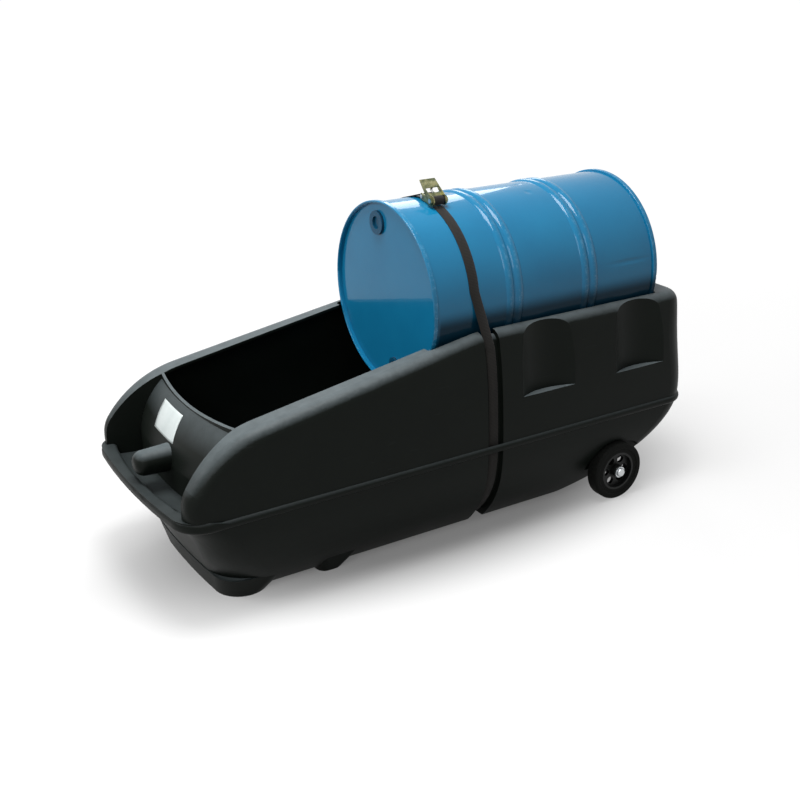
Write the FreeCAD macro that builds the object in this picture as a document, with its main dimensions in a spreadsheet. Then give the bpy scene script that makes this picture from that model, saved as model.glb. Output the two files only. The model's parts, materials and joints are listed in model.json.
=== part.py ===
import FreeCAD, Part
import math
import os

import Sketcher
from FreeCAD import Placement, Rotation, Vector

# Drum trolley: a rotomoulded bund on two wheels, with a ratchet strap over a steel drum.
# Origin: on the floor, at the middle of the tub's length and width. Grip rail at -X, wheels at +X.

# Driving dimensions, in millimetres and degrees
SIZES = {
    # tub outline
    "tub_length": 1870,
    "tub_width": 720,
    "flange_reach": 8,
    "flange_height": 26,
    "flange_level": 304,
    "flange_round": 12,
    "belly_level": 20,
    "skin": 8,
    "front_bow_radius": 2600,
    "corner_radius": 85,
    "corner_growth": 70,
    # how far the lower walls draw in from the flange to the belly, and the upper walls to the rim
    "front_ramp": 155,
    "rear_ramp": 330,
    "side_tuck": 108,
    "upper_tuck": 42,
    "rear_tuck": 8,
    # rim
    "rim_level": 675,
    "rim_radius": 42,
    "rim_slope": 9.6,
    "rim_break": 80,
    "rim_blend_radius": 400,
    "rim_width": 52,
    "opening_round": 40,
    # front wings, panel between them and grip rail
    "wing_radius": 345,
    "wing_centre": 337.5,
    "wing_setback": 38,
    "wing_blend_radius": 100,
    "rail_level": 326,
    "rail_thickness": 38,
    "rail_height": 36,
    "rail_reach": 14,
    "rail_round": 15,
    "rail_taper": 160,
    "grip_depth": 36,
    "panel_lip": 192,
    "panel_level": 519,
    "panel_run": 78,
    "panel_drop": 152,
    "panel_bulge_radius": 260,
    "panel_turn_radius": 1300,
    "panel_half_angle": 11.5,
    "boss_diameter": 76,
    "boss_root_diameter": 90,
    "boss_level": 378,
    "boss_tip": 17,
    "boss_round": 30,
    # strap groove and side pockets
    "groove_place": 115,
    "groove_width": 56,
    "groove_depth": 15,
    "pocket_place": 325,
    "pocket_spacing": 380,
    "pocket_radius": 185,
    "pocket_depth": 32,
    "pocket_ledge": 465,
    "pocket_lean": 5,
    # feet: full-width lobes that widen upwards into the hull
    "front_foot_start": 163,
    "front_foot_length": 167,
    "front_foot_corner": 82,
    "rear_foot_start": 465,
    "rear_foot_length": 90,
    "foot_half": 254,
    "foot_height": 70,
    "foot_lead": 18,
    "foot_trail": 65,
    "foot_splay": 29,
    # running gear
    "axle_place": 620,
    "axle_diameter": 20,
    "tunnel_clearance": 0.4,
    "wheel_diameter": 200,
    "tyre_width": 48,
    "arch_clearance": 7,
    "arch_stretch": 40,
    "arch_sink": 15,
    "arch_face": 312,
    "tyre_radius_inside": 66,
    "tyre_shoulder": 8,
    "tyre_step": 3,
    "hub_length": 56,
    "hub_rim_wall": 7,
    "hub_barrel_radius": 22,
    "hub_web": 12,
    "spoke_gap_radius": 40,
    "spoke_gap_diameter": 26,
    "spoke_count": 6,
    "bush_diameter": 28,
    "running_clearance": 0.08,
    "washer_diameter": 38,
    "washer_thickness": 2.5,
    "end_float": 0.3,
    "cap_diameter": 30,
    "cap_depth": 9,
    "cap_wall": 2,
    "cap_round": 9,
    # drum and its seat on the rim
    "drum_diameter": 585,
    "drum_length": 880,
    "drum_place": -75,
    "drum_axis_level": 746,
    "drum_end_room": 14,
    "rest_gap": 0.3,
    "shell_radius": 286,
    "shell_wall": 1.2,
    "hoop_place": 300,
    "hoop_spacing": 297,
    "ridge_width": 30,
    "ridge_gap": 4,
    "chime_length": 16,
    "chime_wall": 7,
    "chime_round": 3,
    "head_recess": 14,
    "head_wall": 1.4,
    "closure_reach": 223,
    "closure_angle": 11.6,
    "large_plug_diameter": 56,
    "small_plug_diameter": 26,
    "closure_rim": 7,
    "closure_neck": 2.2,
    "closure_height": 3,
    "closure_depth": 14,
    "plug_head": 3.5,
    "plug_recess": 7,
    "plug_recess_share": 0.7,
    "gasket_thickness": 2,
    "fit_gap": 0.2,
    # strap
    "strap_place": 75,
    "strap_width": 35,
    "strap_thickness": 2,
    "strap_lift_level": 620,
    "strap_shift_level": 800,
    # ratchet
    "ratchet_angle": 11,
    "spindle_offset": 25,
    "spindle_height": 19,
    "spindle_diameter": 14,
    "spindle_slot": 3.4,
    "frame_gap": 39,
    "plate": 2.5,
    "side_gap": 0.3,
    "frame_reach": 64,
    "frame_drop": 16,
    "frame_round": 15,
    "frame_shoulder": 4,
    "anchor_reach": 55,
    "anchor_drop": 6,
    "anchor_diameter": 8,
    "wheel_tip_radius": 17,
    "tooth_count": 12,
    "tooth_depth": 3.2,
    "handle_lift": 25,
    "handle_reach": 80,
    "handle_web": 30,
    "handle_height": 10,
    "pawl_thickness": 3.2,
    "pawl_length": 13,
    "pawl_travel": 5,
    "pawl_gap": 0.3,
    "pawl_nose": 1.2,
    "spring_diameter": 7,
    "spring_wire": 1,
    "spring_room": 14,
    "handle_round": 12,
    "winding_squeeze": 0.8,
    "winding_gap": 0.5,
    "winding_turns": 3,
}

doc = FreeCAD.newDocument("DrumTrolley")
sheet = doc.addObject("Spreadsheet::Sheet", "Sizes")
for row, (alias, value) in enumerate(SIZES.items(), start=1):
    sheet.set(f"A{row}", alias)
    sheet.set(f"B{row}", str(value))
    sheet.setAlias(f"B{row}", alias)
doc.recompute()


class Size:
    """A number together with the spreadsheet expression that gives it."""

    def __init__(self, value, text):
        self.value = value
        self.text = text

    def __add__(self, other):
        other = as_size(other)
        return Size(self.value + other.value, f"({self.text} + {other.text})")

    def __sub__(self, other):
        other = as_size(other)
        return Size(self.value - other.value, f"({self.text} - {other.text})")

    def __mul__(self, other):
        other = as_size(other)
        return Size(self.value * other.value, f"({self.text} * {other.text})")

    def __truediv__(self, other):
        other = as_size(other)
        return Size(self.value / other.value, f"({self.text} / {other.text})")

    def __neg__(self):
        return Size(-self.value, f"(0 - {self.text})")

    def __radd__(self, other):
        return as_size(other) + self

    def __rsub__(self, other):
        return as_size(other) - self

    def __rmul__(self, other):
        return as_size(other) * self


def as_size(number):
    return number if isinstance(number, Size) else Size(float(number), repr(float(number)))


def of(alias):
    return Size(float(sheet.get(alias)), f"Sizes.{alias}")


def root(size):
    return Size(math.sqrt(size.value), f"sqrt({size.text})")


def sine(size):
    return Size(math.sin(math.radians(size.value)), f"sin({size.text})")


def cosine(size):
    return Size(math.cos(math.radians(size.value)), f"cos({size.text})")


def tangent(size):
    return Size(math.tan(math.radians(size.value)), f"tan({size.text})")


def bind(thing, **properties):
    """Tie properties to the sheet; a double underscore in a name stands for a dot."""
    for name, size in properties.items():
        thing.setExpression(name.replace("__", "."), as_size(size).text)


def place(thing, x=0, y=0, z=0, turn=None):
    """Set a placement whose position, and the angle of a turn given as (axis, angle), follow the sheet."""
    if isinstance(turn, tuple):
        thing.Placement = Placement(Vector(), Rotation(turn[0], turn[1].value))
        thing.setExpression("Placement.Rotation.Angle", turn[1].text)
    elif turn is not None:
        thing.Placement = Placement(Vector(), turn)
    for axis, size in (("x", x), ("y", y), ("z", z)):
        thing.setExpression(f"Placement.Base.{axis}", as_size(size).text)


def body_called(name):
    return doc.addObject("PartDesign::Body", name)


def sketch_on(body, role, name, offset=0):
    """A sketch on one of the body's own origin planes, raised along the plane's normal."""
    sketch = body.newObject("Sketcher::SketchObject", name)
    plane = next(feature for feature in body.Origin.OriginFeatures if feature.Role == role)
    sketch.AttachmentSupport = [(plane, "")]
    sketch.MapMode = "FlatFace"
    bind(sketch, AttachmentOffset__Base__z=offset)
    return sketch


def arc_between(start, end, radius):
    """The arc of less than a half circle from start to end; a positive radius turns left."""
    chord = end - start
    middle = (start + end) * 0.5
    side = Vector(-chord.y, chord.x, 0).normalize()
    reach = math.sqrt(max(radius ** 2 - (chord.Length / 2) ** 2, 0))
    centre = middle + side * (reach if radius > 0 else -reach)
    first, last = (start, end) if radius > 0 else (end, start)
    angles = [math.atan2(point.y - centre.y, point.x - centre.x) for point in (first, last)]
    if angles[1] < angles[0]:
        angles[1] += 2 * math.pi
    return Part.ArcOfCircle(Part.Circle(centre, Vector(0, 0, 1), abs(radius)), *angles)


def outline(sketch, corners):
    """Close a profile through its corners. A corner is (x, y), or (x, y, radius) where an arc ends;
    a negative radius turns right."""
    corners = [tuple(as_size(part) for part in corner) for corner in corners]
    points = [Vector(corner[0].value, corner[1].value, 0) for corner in corners]
    ends = []
    for index, corner in enumerate(corners):
        start, end = points[index - 1], points[index]
        if len(corner) == 2:
            edge = sketch.addGeometry(Part.LineSegment(start, end))
            ends.append((edge, 1, 2))
        else:
            radius = corner[2].value
            edge = sketch.addGeometry(arc_between(start, end, radius))
            ends.append((edge, 1, 2) if radius > 0 else (edge, 2, 1))
            constraint = sketch.addConstraint(Sketcher.Constraint("Radius", edge, abs(radius)))
            sign = "" if radius > 0 else "0 - "
            sketch.setExpression(f"Constraints[{constraint}]", sign + corner[2].text)
    for index, (edge, _, last) in enumerate(ends):
        after, first, _ = ends[(index + 1) % len(ends)]
        sketch.addConstraint(Sketcher.Constraint("Coincident", edge, last, after, first))
        for kind, size, axis in (("DistanceX", corners[index][0], -2), ("DistanceY", corners[index][1], -1)):
            if size.text == "0.0":
                sketch.addConstraint(Sketcher.Constraint("PointOnObject", edge, last, axis))
                continue
            constraint = sketch.addConstraint(Sketcher.Constraint(kind, -1, 1, edge, last, size.value))
            sketch.setExpression(f"Constraints[{constraint}]", size.text)
    return sketch


def circle(sketch, x, y, diameter):
    """A full circle whose diameter and centre follow the sheet."""
    edge = sketch.addGeometry(Part.Circle(Vector(x.value, y.value, 0), Vector(0, 0, 1), diameter.value / 2))
    size = sketch.addConstraint(Sketcher.Constraint("Diameter", edge, diameter.value))
    sketch.setExpression(f"Constraints[{size}]", diameter.text)
    for kind, where, axis in (("DistanceX", x, -2), ("DistanceY", y, -1)):
        if where.text == "0.0":
            sketch.addConstraint(Sketcher.Constraint("PointOnObject", edge, 3, axis))
            continue
        spot = sketch.addConstraint(Sketcher.Constraint(kind, -1, 1, edge, 3, where.value))
        sketch.setExpression(f"Constraints[{spot}]", where.text)
    return sketch


def rectangle(sketch, x0, x1, y0, y1):
    return outline(sketch, [(x1, y0), (x1, y1), (x0, y1), (x0, y0)])


def pad(body, sketch, name, length, midplane=False, reversed=False):
    feature = body.newObject("PartDesign::Pad", name)
    feature.Profile = sketch
    bind(feature, Length=length)
    feature.Midplane = midplane
    feature.Reversed = reversed
    return feature


def pocket(body, sketch, name, length, midplane=False, reversed=False):
    feature = body.newObject("PartDesign::Pocket", name)
    feature.Profile = sketch
    bind(feature, Length=length)
    feature.Midplane = midplane
    feature.Reversed = reversed
    return feature


def cut(name, base, *tools):
    tool = tools[0]
    if len(tools) > 1:
        tool = fuse(name + "_tools", *tools)
    feature = doc.addObject("Part::Cut", name)
    feature.Base = base
    feature.Tool = tool
    return feature


def fuse(name, *shapes):
    feature = doc.addObject("Part::MultiFuse", name)
    feature.Shapes = list(shapes)
    return feature


def common(name, *shapes):
    feature = doc.addObject("Part::MultiCommon", name)
    feature.Shapes = list(shapes)
    return feature


def box(name, length, width, height, x, y, z):
    """A box given by its sizes and lowest corner."""
    feature = doc.addObject("Part::Box", name)
    bind(feature, Length=length, Width=width, Height=height)
    place(feature, x, y, z)
    return feature


def cylinder(name, radius, height, x, y, z, turn=None):
    feature = doc.addObject("Part::Cylinder", name)
    bind(feature, Radius=radius, Height=height)
    place(feature, x, y, z, turn)
    return feature


none = as_size(0)
ALONG_X = Rotation(Vector(0, 1, 0), 90)
ALONG_Y = Rotation(Vector(1, 0, 0), -90)

# Tub: closed outer form, its inner form one skin inside, and the recesses of both

half_length = of("tub_length") / 2
wall_front = of("rail_reach") - half_length
wall_rear = half_length - of("flange_reach")
wall_half = of("tub_width") / 2 - of("flange_reach")
wing_front = of("wing_setback") - half_length
flange_level = of("flange_level")
# Cutting tools run past the tub by this much
HEADROOM = 40
# Heights of the lofted rings as shares of the lower and upper walls, and how sharply each wall curves in
LOWER_SHARES = (0, 0.12, 0.3, 0.58, 0.85, 1)
UPPER_SHARES = (0.36, 0.7, 1)
FRONT_CURVE = 0.78
REAR_CURVE = 1.7
SIDE_CURVE = 2.6
UPPER_CURVE = 2


def ring(sketch, front, rear, half, corner):
    """A rounded rectangle in plan whose front edge bows forwards, tangent to its corners."""
    bow = of("front_bow_radius")
    sweep = (half - corner) / (bow - corner)
    level = root(1 - sweep * sweep)
    centre = front + bow - (bow - corner) * level
    turn_x = centre - corner * level
    turn_y = half - corner + corner * sweep
    return outline(sketch, [
        (rear - corner, -half),
        (rear, corner - half, corner),
        (rear, half - corner),
        (rear - corner, half, corner),
        (centre, half),
        (turn_x, turn_y, corner),
        (turn_x, -turn_y, bow),
        (centre, -half, corner),
    ])


def power(base, exponent):
    return Size(base ** exponent, repr(base ** exponent))


def tub_form(name, inset):
    """The tub's closed outer form, drawn in by an inset: lofted walls under a profiled, rounded rim."""
    body = body_called(name)
    height = flange_level - of("belly_level")
    rise = of("rim_level") + HEADROOM - flange_level
    sections = []
    for share in LOWER_SHARES:
        rest = 1 - share
        sections.append((
            of("belly_level") + height * share + inset * rest,
            wall_front + of("front_ramp") * power(rest, FRONT_CURVE) + inset,
            wall_rear - of("rear_ramp") * power(rest, REAR_CURVE) - inset,
            wall_half - of("side_tuck") * power(rest, SIDE_CURVE) - inset,
            of("corner_radius") + of("corner_growth") * rest - inset,
        ))
    for share in UPPER_SHARES:
        bend = power(share, UPPER_CURVE)
        sections.append((
            flange_level + rise * share,
            wall_front + inset,
            wall_rear - of("rear_tuck") * bend - inset,
            wall_half - of("upper_tuck") * bend - inset,
            of("corner_radius") - inset,
        ))
    sketches = []
    for index, (level, *sides) in enumerate(sections):
        sketches.append(ring(sketch_on(body, "XY_Plane", f"{name}_ring_{index}", level), *sides))
    loft = body.newObject("PartDesign::AdditiveLoft", name + "_loft")
    loft.Profile = sketches[0]
    loft.Sections = sketches[1:]

    slope = of("rim_slope")
    radius = of("wing_radius") - inset
    turn = of("wing_blend_radius") - inset
    blend = of("rim_blend_radius") - inset
    top = of("rim_level") - inset
    lead = blend * tangent(slope / 2)
    line_break = of("rim_break") + inset * tangent(slope / 2)
    arc_x = of("wing_centre") - half_length
    arc_end_x = arc_x - radius * sine(slope)
    arc_end_z = top - tangent(slope) * (line_break - arc_end_x)
    arc_z = arc_end_z - radius * cosine(slope)
    apart = radius - turn
    across = arc_x - wing_front - of("wing_blend_radius")
    above = root(apart * apart - across * across)
    turn_z = arc_z + above
    past = half_length + HEADROOM
    over = of("rim_level") + 3 * HEADROOM
    roof = sketch_on(body, "XZ_Plane", name + "_roof")
    outline(roof, [
        (-past, over),
        (-past, of("rail_level") - inset),
        (wing_front + inset, of("rail_level") - inset),
        (wing_front + inset, turn_z),
        (arc_x - across * radius / apart, arc_z + above * radius / apart, -turn),
        (arc_end_x, arc_end_z, -radius),
        (line_break - lead * cosine(slope), top - lead * sine(slope)),
        (line_break + lead, top, -blend),
        (past, top),
        (past, over),
    ])
    pocket(body, roof, name + "_open", of("tub_width") + 2 * HEADROOM, midplane=True)
    doc.recompute()
    roofed = body.Tip
    edges = []
    for index, edge in enumerate(roofed.Shape.Edges, start=1):
        middle = edge.valueAt((edge.FirstParameter + edge.LastParameter) / 2)
        on_roof = turn_z.value + 1 < middle.z < top.value + 1
        inside_roof = abs(middle.y) < 1 and middle.x < line_break.value + 1.1 * lead.value
        on_wall = edge.BoundBox.ZMin < flange_level.value
        if on_roof and not inside_roof and not on_wall:
            edges.append(f"Edge{index}")
    fillet = body.newObject("PartDesign::Fillet", name + "_rim")
    fillet.Base = (roofed, edges)
    bind(fillet, Radius=of("rim_radius") - inset)
    return body


def grooved(name, form, core, inset):
    """A form whose sides, rim and belly step in to a smaller core along the strap's path."""
    width = of("groove_width") + 2 * inset
    slab = box(name + "_slab", width, of("tub_width") + 2 * HEADROOM, of("rim_level") + 2 * HEADROOM,
               of("groove_place") - width / 2, -of("tub_width") / 2 - HEADROOM, -HEADROOM)
    return cut(name, form, cut(name + "_band", slab, core))


def panel_tool(name, inset):
    """What the hollow between the wings removes: a bulged panel over a grip pocket behind the rail."""
    body = body_called(name)
    lip_x = of("panel_lip") - half_length + inset
    base_x = lip_x - of("panel_run")
    floor = of("rail_level") - of("grip_depth") - inset
    rail_x = of("rail_thickness") - half_length - inset
    rounding = of("rail_round") - inset
    turn = of("panel_turn_radius")
    axis_x = of("panel_lip") - half_length + turn
    past = half_length + HEADROOM
    over = of("rim_level") + HEADROOM
    sketch = sketch_on(body, "XZ_Plane", name + "_profile")
    bind(sketch, AttachmentOffset__Base__x=axis_x)
    outline(sketch, [
        (lip_x - axis_x, over),
        (-past - axis_x, over),
        (-past - axis_x, of("rail_level") - inset),
        (rail_x - rounding - axis_x, of("rail_level") - inset),
        (rail_x - axis_x, of("rail_level") - inset - rounding, -rounding),
        (rail_x - axis_x, floor),
        (base_x - axis_x, floor),
        (base_x - axis_x, of("panel_level") - of("panel_drop")),
        (lip_x - axis_x, of("panel_level"), -of("panel_bulge_radius")),
    ])
    turned = body.newObject("PartDesign::Revolution", name + "_turn")
    turned.Profile = sketch
    turned.ReferenceAxis = (sketch, ["V_Axis"])
    turned.Midplane = True
    bind(turned, Angle=2 * (of("panel_half_angle") + inset * math.degrees(1) / turn))
    return body


def boss(name, inset):
    """The blunt horizontal boss under the panel, which widens from the rail to the panel."""
    tip = of("boss_tip") - half_length + inset
    body = body_called(name)
    sketch = sketch_on(body, "XZ_Plane", name + "_profile")
    bind(sketch, AttachmentOffset__Base__y=of("boss_level"))
    radius = of("boss_diameter") / 2 - inset
    rounding = of("boss_round") - inset
    root_x = of("panel_lip") - half_length + inset
    outline(sketch, [
        (tip, 0),
        (root_x, 0),
        (root_x, of("boss_root_diameter") / 2 - inset),
        (tip + rounding, radius),
        (tip, radius - rounding, rounding),
    ])
    turned = body.newObject("PartDesign::Revolution", name + "_turn")
    turned.Profile = sketch
    turned.ReferenceAxis = (sketch, ["H_Axis"])
    return body


def side_pockets(name, inset):
    """Four leaning cylinders that hollow the upper walls from the rim down to a ledge."""
    rise = (of("pocket_ledge") - flange_level) / (of("rim_level") + HEADROOM - flange_level)
    wall = wall_half - of("upper_tuck") * rise * rise
    radius = of("pocket_radius") + inset
    centre = wall + of("pocket_radius") - of("pocket_depth")
    tools = []
    for side, sign in (("left", 1), ("right", -1)):
        for index in range(2):
            tools.append(cylinder(
                f"{name}_{side}_{index}", radius, of("rim_level"),
                of("pocket_place") + index * of("pocket_spacing"), sign * centre, of("pocket_ledge") - inset,
                (Vector(sign, 0, 0), of("pocket_lean"))))
    return tools


def wheel_arches(name, inset):
    """Round the wheel, and again a little behind and below it, so that the arch trails off rearwards."""
    radius = of("wheel_diameter") / 2 + of("arch_clearance") + inset
    face = of("arch_face") - inset
    reach = of("tub_width") / 2
    tools = []
    for side, y in (("left", face), ("right", -face - reach)):
        for part, back, down in (("round", none, none), ("trail", of("arch_stretch"), of("arch_sink"))):
            tools.append(cylinder(f"{name}_{side}_{part}", radius, reach, of("axle_place") + back, y,
                                  of("wheel_diameter") / 2 - down, ALONG_Y))
    return tools


def tunnel(name, radius):
    return cylinder(name, radius, of("tub_width"), of("axle_place"), -of("tub_width") / 2,
                    of("wheel_diameter") / 2, ALONG_Y)


def rib_plate(name, level, height, rounding):
    """A plate across the tub whose edge stands out of the walls as a rounded rib."""
    body = body_called(name)
    sketch = sketch_on(body, "XY_Plane", name + "_ring", level)
    ring(sketch, -half_length, half_length, of("tub_width") / 2, of("corner_radius") + of("flange_reach"))
    plate = pad(body, sketch, name + "_pad", height)
    doc.recompute()
    edges = [f"Edge{index}" for index, edge in enumerate(plate.Shape.Edges, start=1)
             if edge.BoundBox.ZLength < 1]
    fillet = body.newObject("PartDesign::Fillet", name + "_rounding")
    fillet.Base = (plate, edges)
    bind(fillet, Radius=rounding)
    return body


def flange_plate():
    """The parting-line flange; it bridges the strap grooves."""
    height = of("flange_height")
    return rib_plate("flange", flange_level - height / 2, height, of("flange_round"))


def grip_rail():
    """The rail across the front: a taller rib that wraps the corners and slopes down to the flange."""
    height = of("rail_height")
    low = of("rail_level") - height
    body = rib_plate("rail", low, height, of("rail_round"))
    start = of("corner_radius") - half_length
    taper = of("rail_taper")
    past = half_length + HEADROOM
    sketch = sketch_on(body, "XZ_Plane", "rail_ends")
    outline(sketch, [
        (past, low - height),
        (past, of("rail_level") + height),
        (start - taper, of("rail_level") + height),
        (start + 2 * taper, low - height),
    ])
    pocket(body, sketch, "rail_cut", of("tub_width") + 2 * HEADROOM, midplane=True)
    return body


def strap_slots():
    """Where the strap passes behind the flange."""
    width = of("groove_width")
    depth = of("groove_depth")
    return [box(f"strap_slot_{side}", width, depth, 2 * of("flange_height"), of("groove_place") - width / 2,
                y, flange_level - of("flange_height"))
            for side, y in (("left", wall_half - depth), ("right", -wall_half))]


def feet(name, inset):
    """Two hollow lobes across the belly, each lofted from its sole up into the hull."""
    pieces = []
    for part, start, length in (("front", of("front_foot_start"), of("front_foot_length")),
                                ("rear", of("rear_foot_start"), of("rear_foot_length"))):
        body = body_called(f"{name}_{part}")
        front = start - half_length
        rear = front + length
        sketches = []
        for index, (level, share) in enumerate(((inset, inset / of("foot_height")), (of("foot_height"), 1))):
            sketch = sketch_on(body, "XY_Plane", f"{name}_{part}_ring_{index}", level)
            corner = of("front_foot_corner") if part == "front" else length / 3
            sketches.append(ring(sketch, front - of("foot_lead") * share + inset,
                                 rear + of("foot_trail") * share - inset,
                                 of("foot_half") + of("foot_splay") * share - inset, corner - inset))
        loft = body.newObject("PartDesign::AdditiveLoft", f"{name}_{part}_loft")
        loft.Profile = sketches[0]
        loft.Sections = sketches[1:]
        pieces.append(body)
    return pieces


def opening(panel):
    """The hole in the rim: narrow from the panel's back over the front sump, as wide as the drum's seat
    behind it."""
    tools = []
    front_half = wall_half - of("upper_tuck") - of("rim_width")
    drum_front = of("drum_place") - of("drum_end_room")
    drum_rear = of("drum_place") + of("drum_length") + of("drum_end_room")
    start = of("panel_lip") - half_length - of("opening_round")
    level = of("panel_level") - 2 * HEADROOM
    for name, x0, half, corner in (("front", start, front_half, of("opening_round")),
                                   ("rear", drum_front, seat_half, of("drum_end_room"))):
        body = body_called("opening_" + name)
        outline(sketch_on(body, "XY_Plane", f"opening_{name}_ring", level), [
            (drum_rear - corner, -half),
            (drum_rear, corner - half, corner),
            (drum_rear, half - corner),
            (drum_rear - corner, half, corner),
            (x0 + corner, half),
            (x0, half - corner, corner),
            (x0, corner - half),
            (x0 + corner, -half, corner),
        ])
        pad(body, doc.getObject(f"opening_{name}_ring"), f"opening_{name}_pad", of("rim_level"))
        tools.append(body)
    return [cut("opening_behind_panel", tools[0], panel), tools[1]]


hoop_radius = of("drum_diameter") / 2
seat_drop = of("drum_axis_level") - of("rim_level")
seat_half = root(hoop_radius * hoop_radius - seat_drop * seat_drop) + of("rest_gap")
skin = of("skin")
depth = of("groove_depth")

outer = grooved("tub_outer", tub_form("outer_form", none + 0), tub_form("outer_core", depth + 0), none)
inner = grooved("tub_inner", tub_form("inner_form", skin + 0), tub_form("inner_core", skin + depth), skin)
hull = fuse("tub_hull", cut("tub_flanged", fuse("tub_plated", outer, flange_plate(), grip_rail()),
                            *strap_slots(), panel_tool("panel_hollow", none), *side_pockets("pocket", none),
                            *wheel_arches("arch", none)), boss("rail_boss", none), *feet("foot", none))
tunnel_radius = of("axle_diameter") / 2 + of("tunnel_clearance")
panel_back = panel_tool("panel_back", skin)
cavity = fuse("tub_cavity", cut("tub_void", inner, panel_back, *side_pockets("pocket_back", skin),
                                *wheel_arches("arch_back", skin), tunnel("tunnel_wall", tunnel_radius + skin)),
              boss("boss_back", skin), *feet("foot_hollow", skin))
tub = cut("tub", hull, cavity, tunnel("tunnel_bore", tunnel_radius), *opening(panel_back))

nodes = {"tub": tub}


def revolved(name, profile, x, y, z, turn=None):
    """A turned piece: its profile is given as (radius, height) and stands on the piece's own axis."""
    body = body_called(name)
    sketch = outline(sketch_on(body, "XZ_Plane", name + "_profile"), profile)
    turned = body.newObject("PartDesign::Revolution", name + "_turn")
    turned.Profile = sketch
    turned.ReferenceAxis = (sketch, ["V_Axis"])
    place(body, x, y, z, turn)
    return body


# Running gear: each wheel's pieces are drawn outwards from the tub's middle plane

axle_radius = of("axle_diameter") / 2
axle_level = of("wheel_diameter") / 2
washer = of("washer_thickness")
play = of("end_float")
inner_washer_in = of("arch_face") + play
hub_in = inner_washer_in + washer + play
hub_out = hub_in + of("hub_length")
outer_washer_in = hub_out + play
cap_in = outer_washer_in + washer + play
hub_middle = hub_in + of("hub_length") / 2
OUTWARDS = {"left": ALONG_Y, "right": Rotation(Vector(1, 0, 0), 90)}


def ring_profile(inner_radius, outer_radius, low, high):
    return [(inner_radius, low), (outer_radius, low), (outer_radius, high), (inner_radius, high)]


def tyre_profile():
    outer = of("wheel_diameter") / 2
    inner = of("tyre_radius_inside")
    half = of("tyre_width") / 2
    shoulder = of("tyre_shoulder")
    step = of("tyre_step")
    ledge = (outer - shoulder + inner) / 2
    low, high = hub_middle - half, hub_middle + half
    return [
        (inner, low + step),
        (ledge, low + step),
        (ledge + step, low),
        (outer - shoulder, low),
        (outer, low + shoulder, shoulder),
        (outer, high - shoulder),
        (outer - shoulder, high, shoulder),
        (ledge + step, high),
        (ledge, high - step),
        (inner, high - step),
    ]


def hub_profile():
    bore = of("bush_diameter") / 2
    barrel = of("hub_barrel_radius")
    rim = of("tyre_radius_inside")
    rim_in = rim - of("hub_rim_wall")
    half = of("tyre_width") / 2 - of("tyre_step")
    web = of("hub_web") / 2
    return [
        (bore, hub_in),
        (barrel, hub_in),
        (barrel, hub_middle - web),
        (rim_in, hub_middle - web),
        (rim_in, hub_middle - half),
        (rim, hub_middle - half),
        (rim, hub_middle + half),
        (rim_in, hub_middle + half),
        (rim_in, hub_middle + web),
        (barrel, hub_middle + web),
        (barrel, hub_out),
        (bore, hub_out),
    ]


def cap_profile():
    bore = axle_radius + of("running_clearance")
    outer = of("cap_diameter") / 2
    top = cap_in + of("cap_depth") + of("cap_wall")
    rounding = of("cap_round")
    inside = cap_in + of("cap_depth")
    return [
        (bore, cap_in),
        (outer, cap_in),
        (outer, top - rounding),
        (outer - rounding, top, rounding),
        (0, top),
        (0, inside),
        (bore, inside),
    ]


def wheel(side):
    """Tyre, hub, bush, washers and axle cap of one wheel."""
    turn = OUTWARDS[side]
    spot = (of("axle_place"), 0, axle_level, turn)
    bore = axle_radius + of("running_clearance")
    washer_radius = of("washer_diameter") / 2
    pieces = {
        "tyre": revolved(f"tyre_{side}", tyre_profile(), *spot),
        "hub_bush": revolved(f"hub_bush_{side}", ring_profile(
            bore, of("bush_diameter") / 2, hub_in, hub_out), *spot),
        "inner_washer": revolved(f"inner_washer_{side}", ring_profile(
            bore, washer_radius, inner_washer_in, inner_washer_in + washer), *spot),
        "outer_washer": revolved(f"outer_washer_{side}", ring_profile(
            bore, washer_radius, outer_washer_in, outer_washer_in + washer), *spot),
        "axle_cap": revolved(f"axle_cap_{side}", cap_profile(), *spot),
    }
    hub = revolved(f"wheel_hub_{side}", hub_profile(), *spot)
    doc.recompute()
    gap = sketch_on(hub, "XY_Plane", f"hub_gap_{side}", hub_in)
    circle(gap, of("spoke_gap_radius"), none, of("spoke_gap_diameter"))
    hole = pocket(hub, gap, f"hub_hole_{side}", of("hub_length"), reversed=True)
    pattern = hub.newObject("PartDesign::PolarPattern", f"hub_spokes_{side}")
    pattern.Originals = [hole]
    pattern.Axis = (gap, ["N_Axis"])
    pattern.Angle = 360
    bind(pattern, Occurrences=of("spoke_count"))
    hub.Tip = pattern
    pieces["wheel_hub"] = hub
    for name, piece in pieces.items():
        nodes[f"{name}_{side}"] = piece


for side in OUTWARDS:
    wheel(side)
axle_end = cap_in + of("cap_depth") - of("fit_gap")
nodes["axle"] = cylinder("axle", axle_radius, 2 * axle_end, of("axle_place"), -axle_end, axle_level, ALONG_Y)

# Drum: shell with rolled chimes and two double-ridged hoops, two sunk heads, two screwed closures

shell = of("shell_radius")
shell_in = shell - of("shell_wall")
drum_length = of("drum_length")


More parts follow.
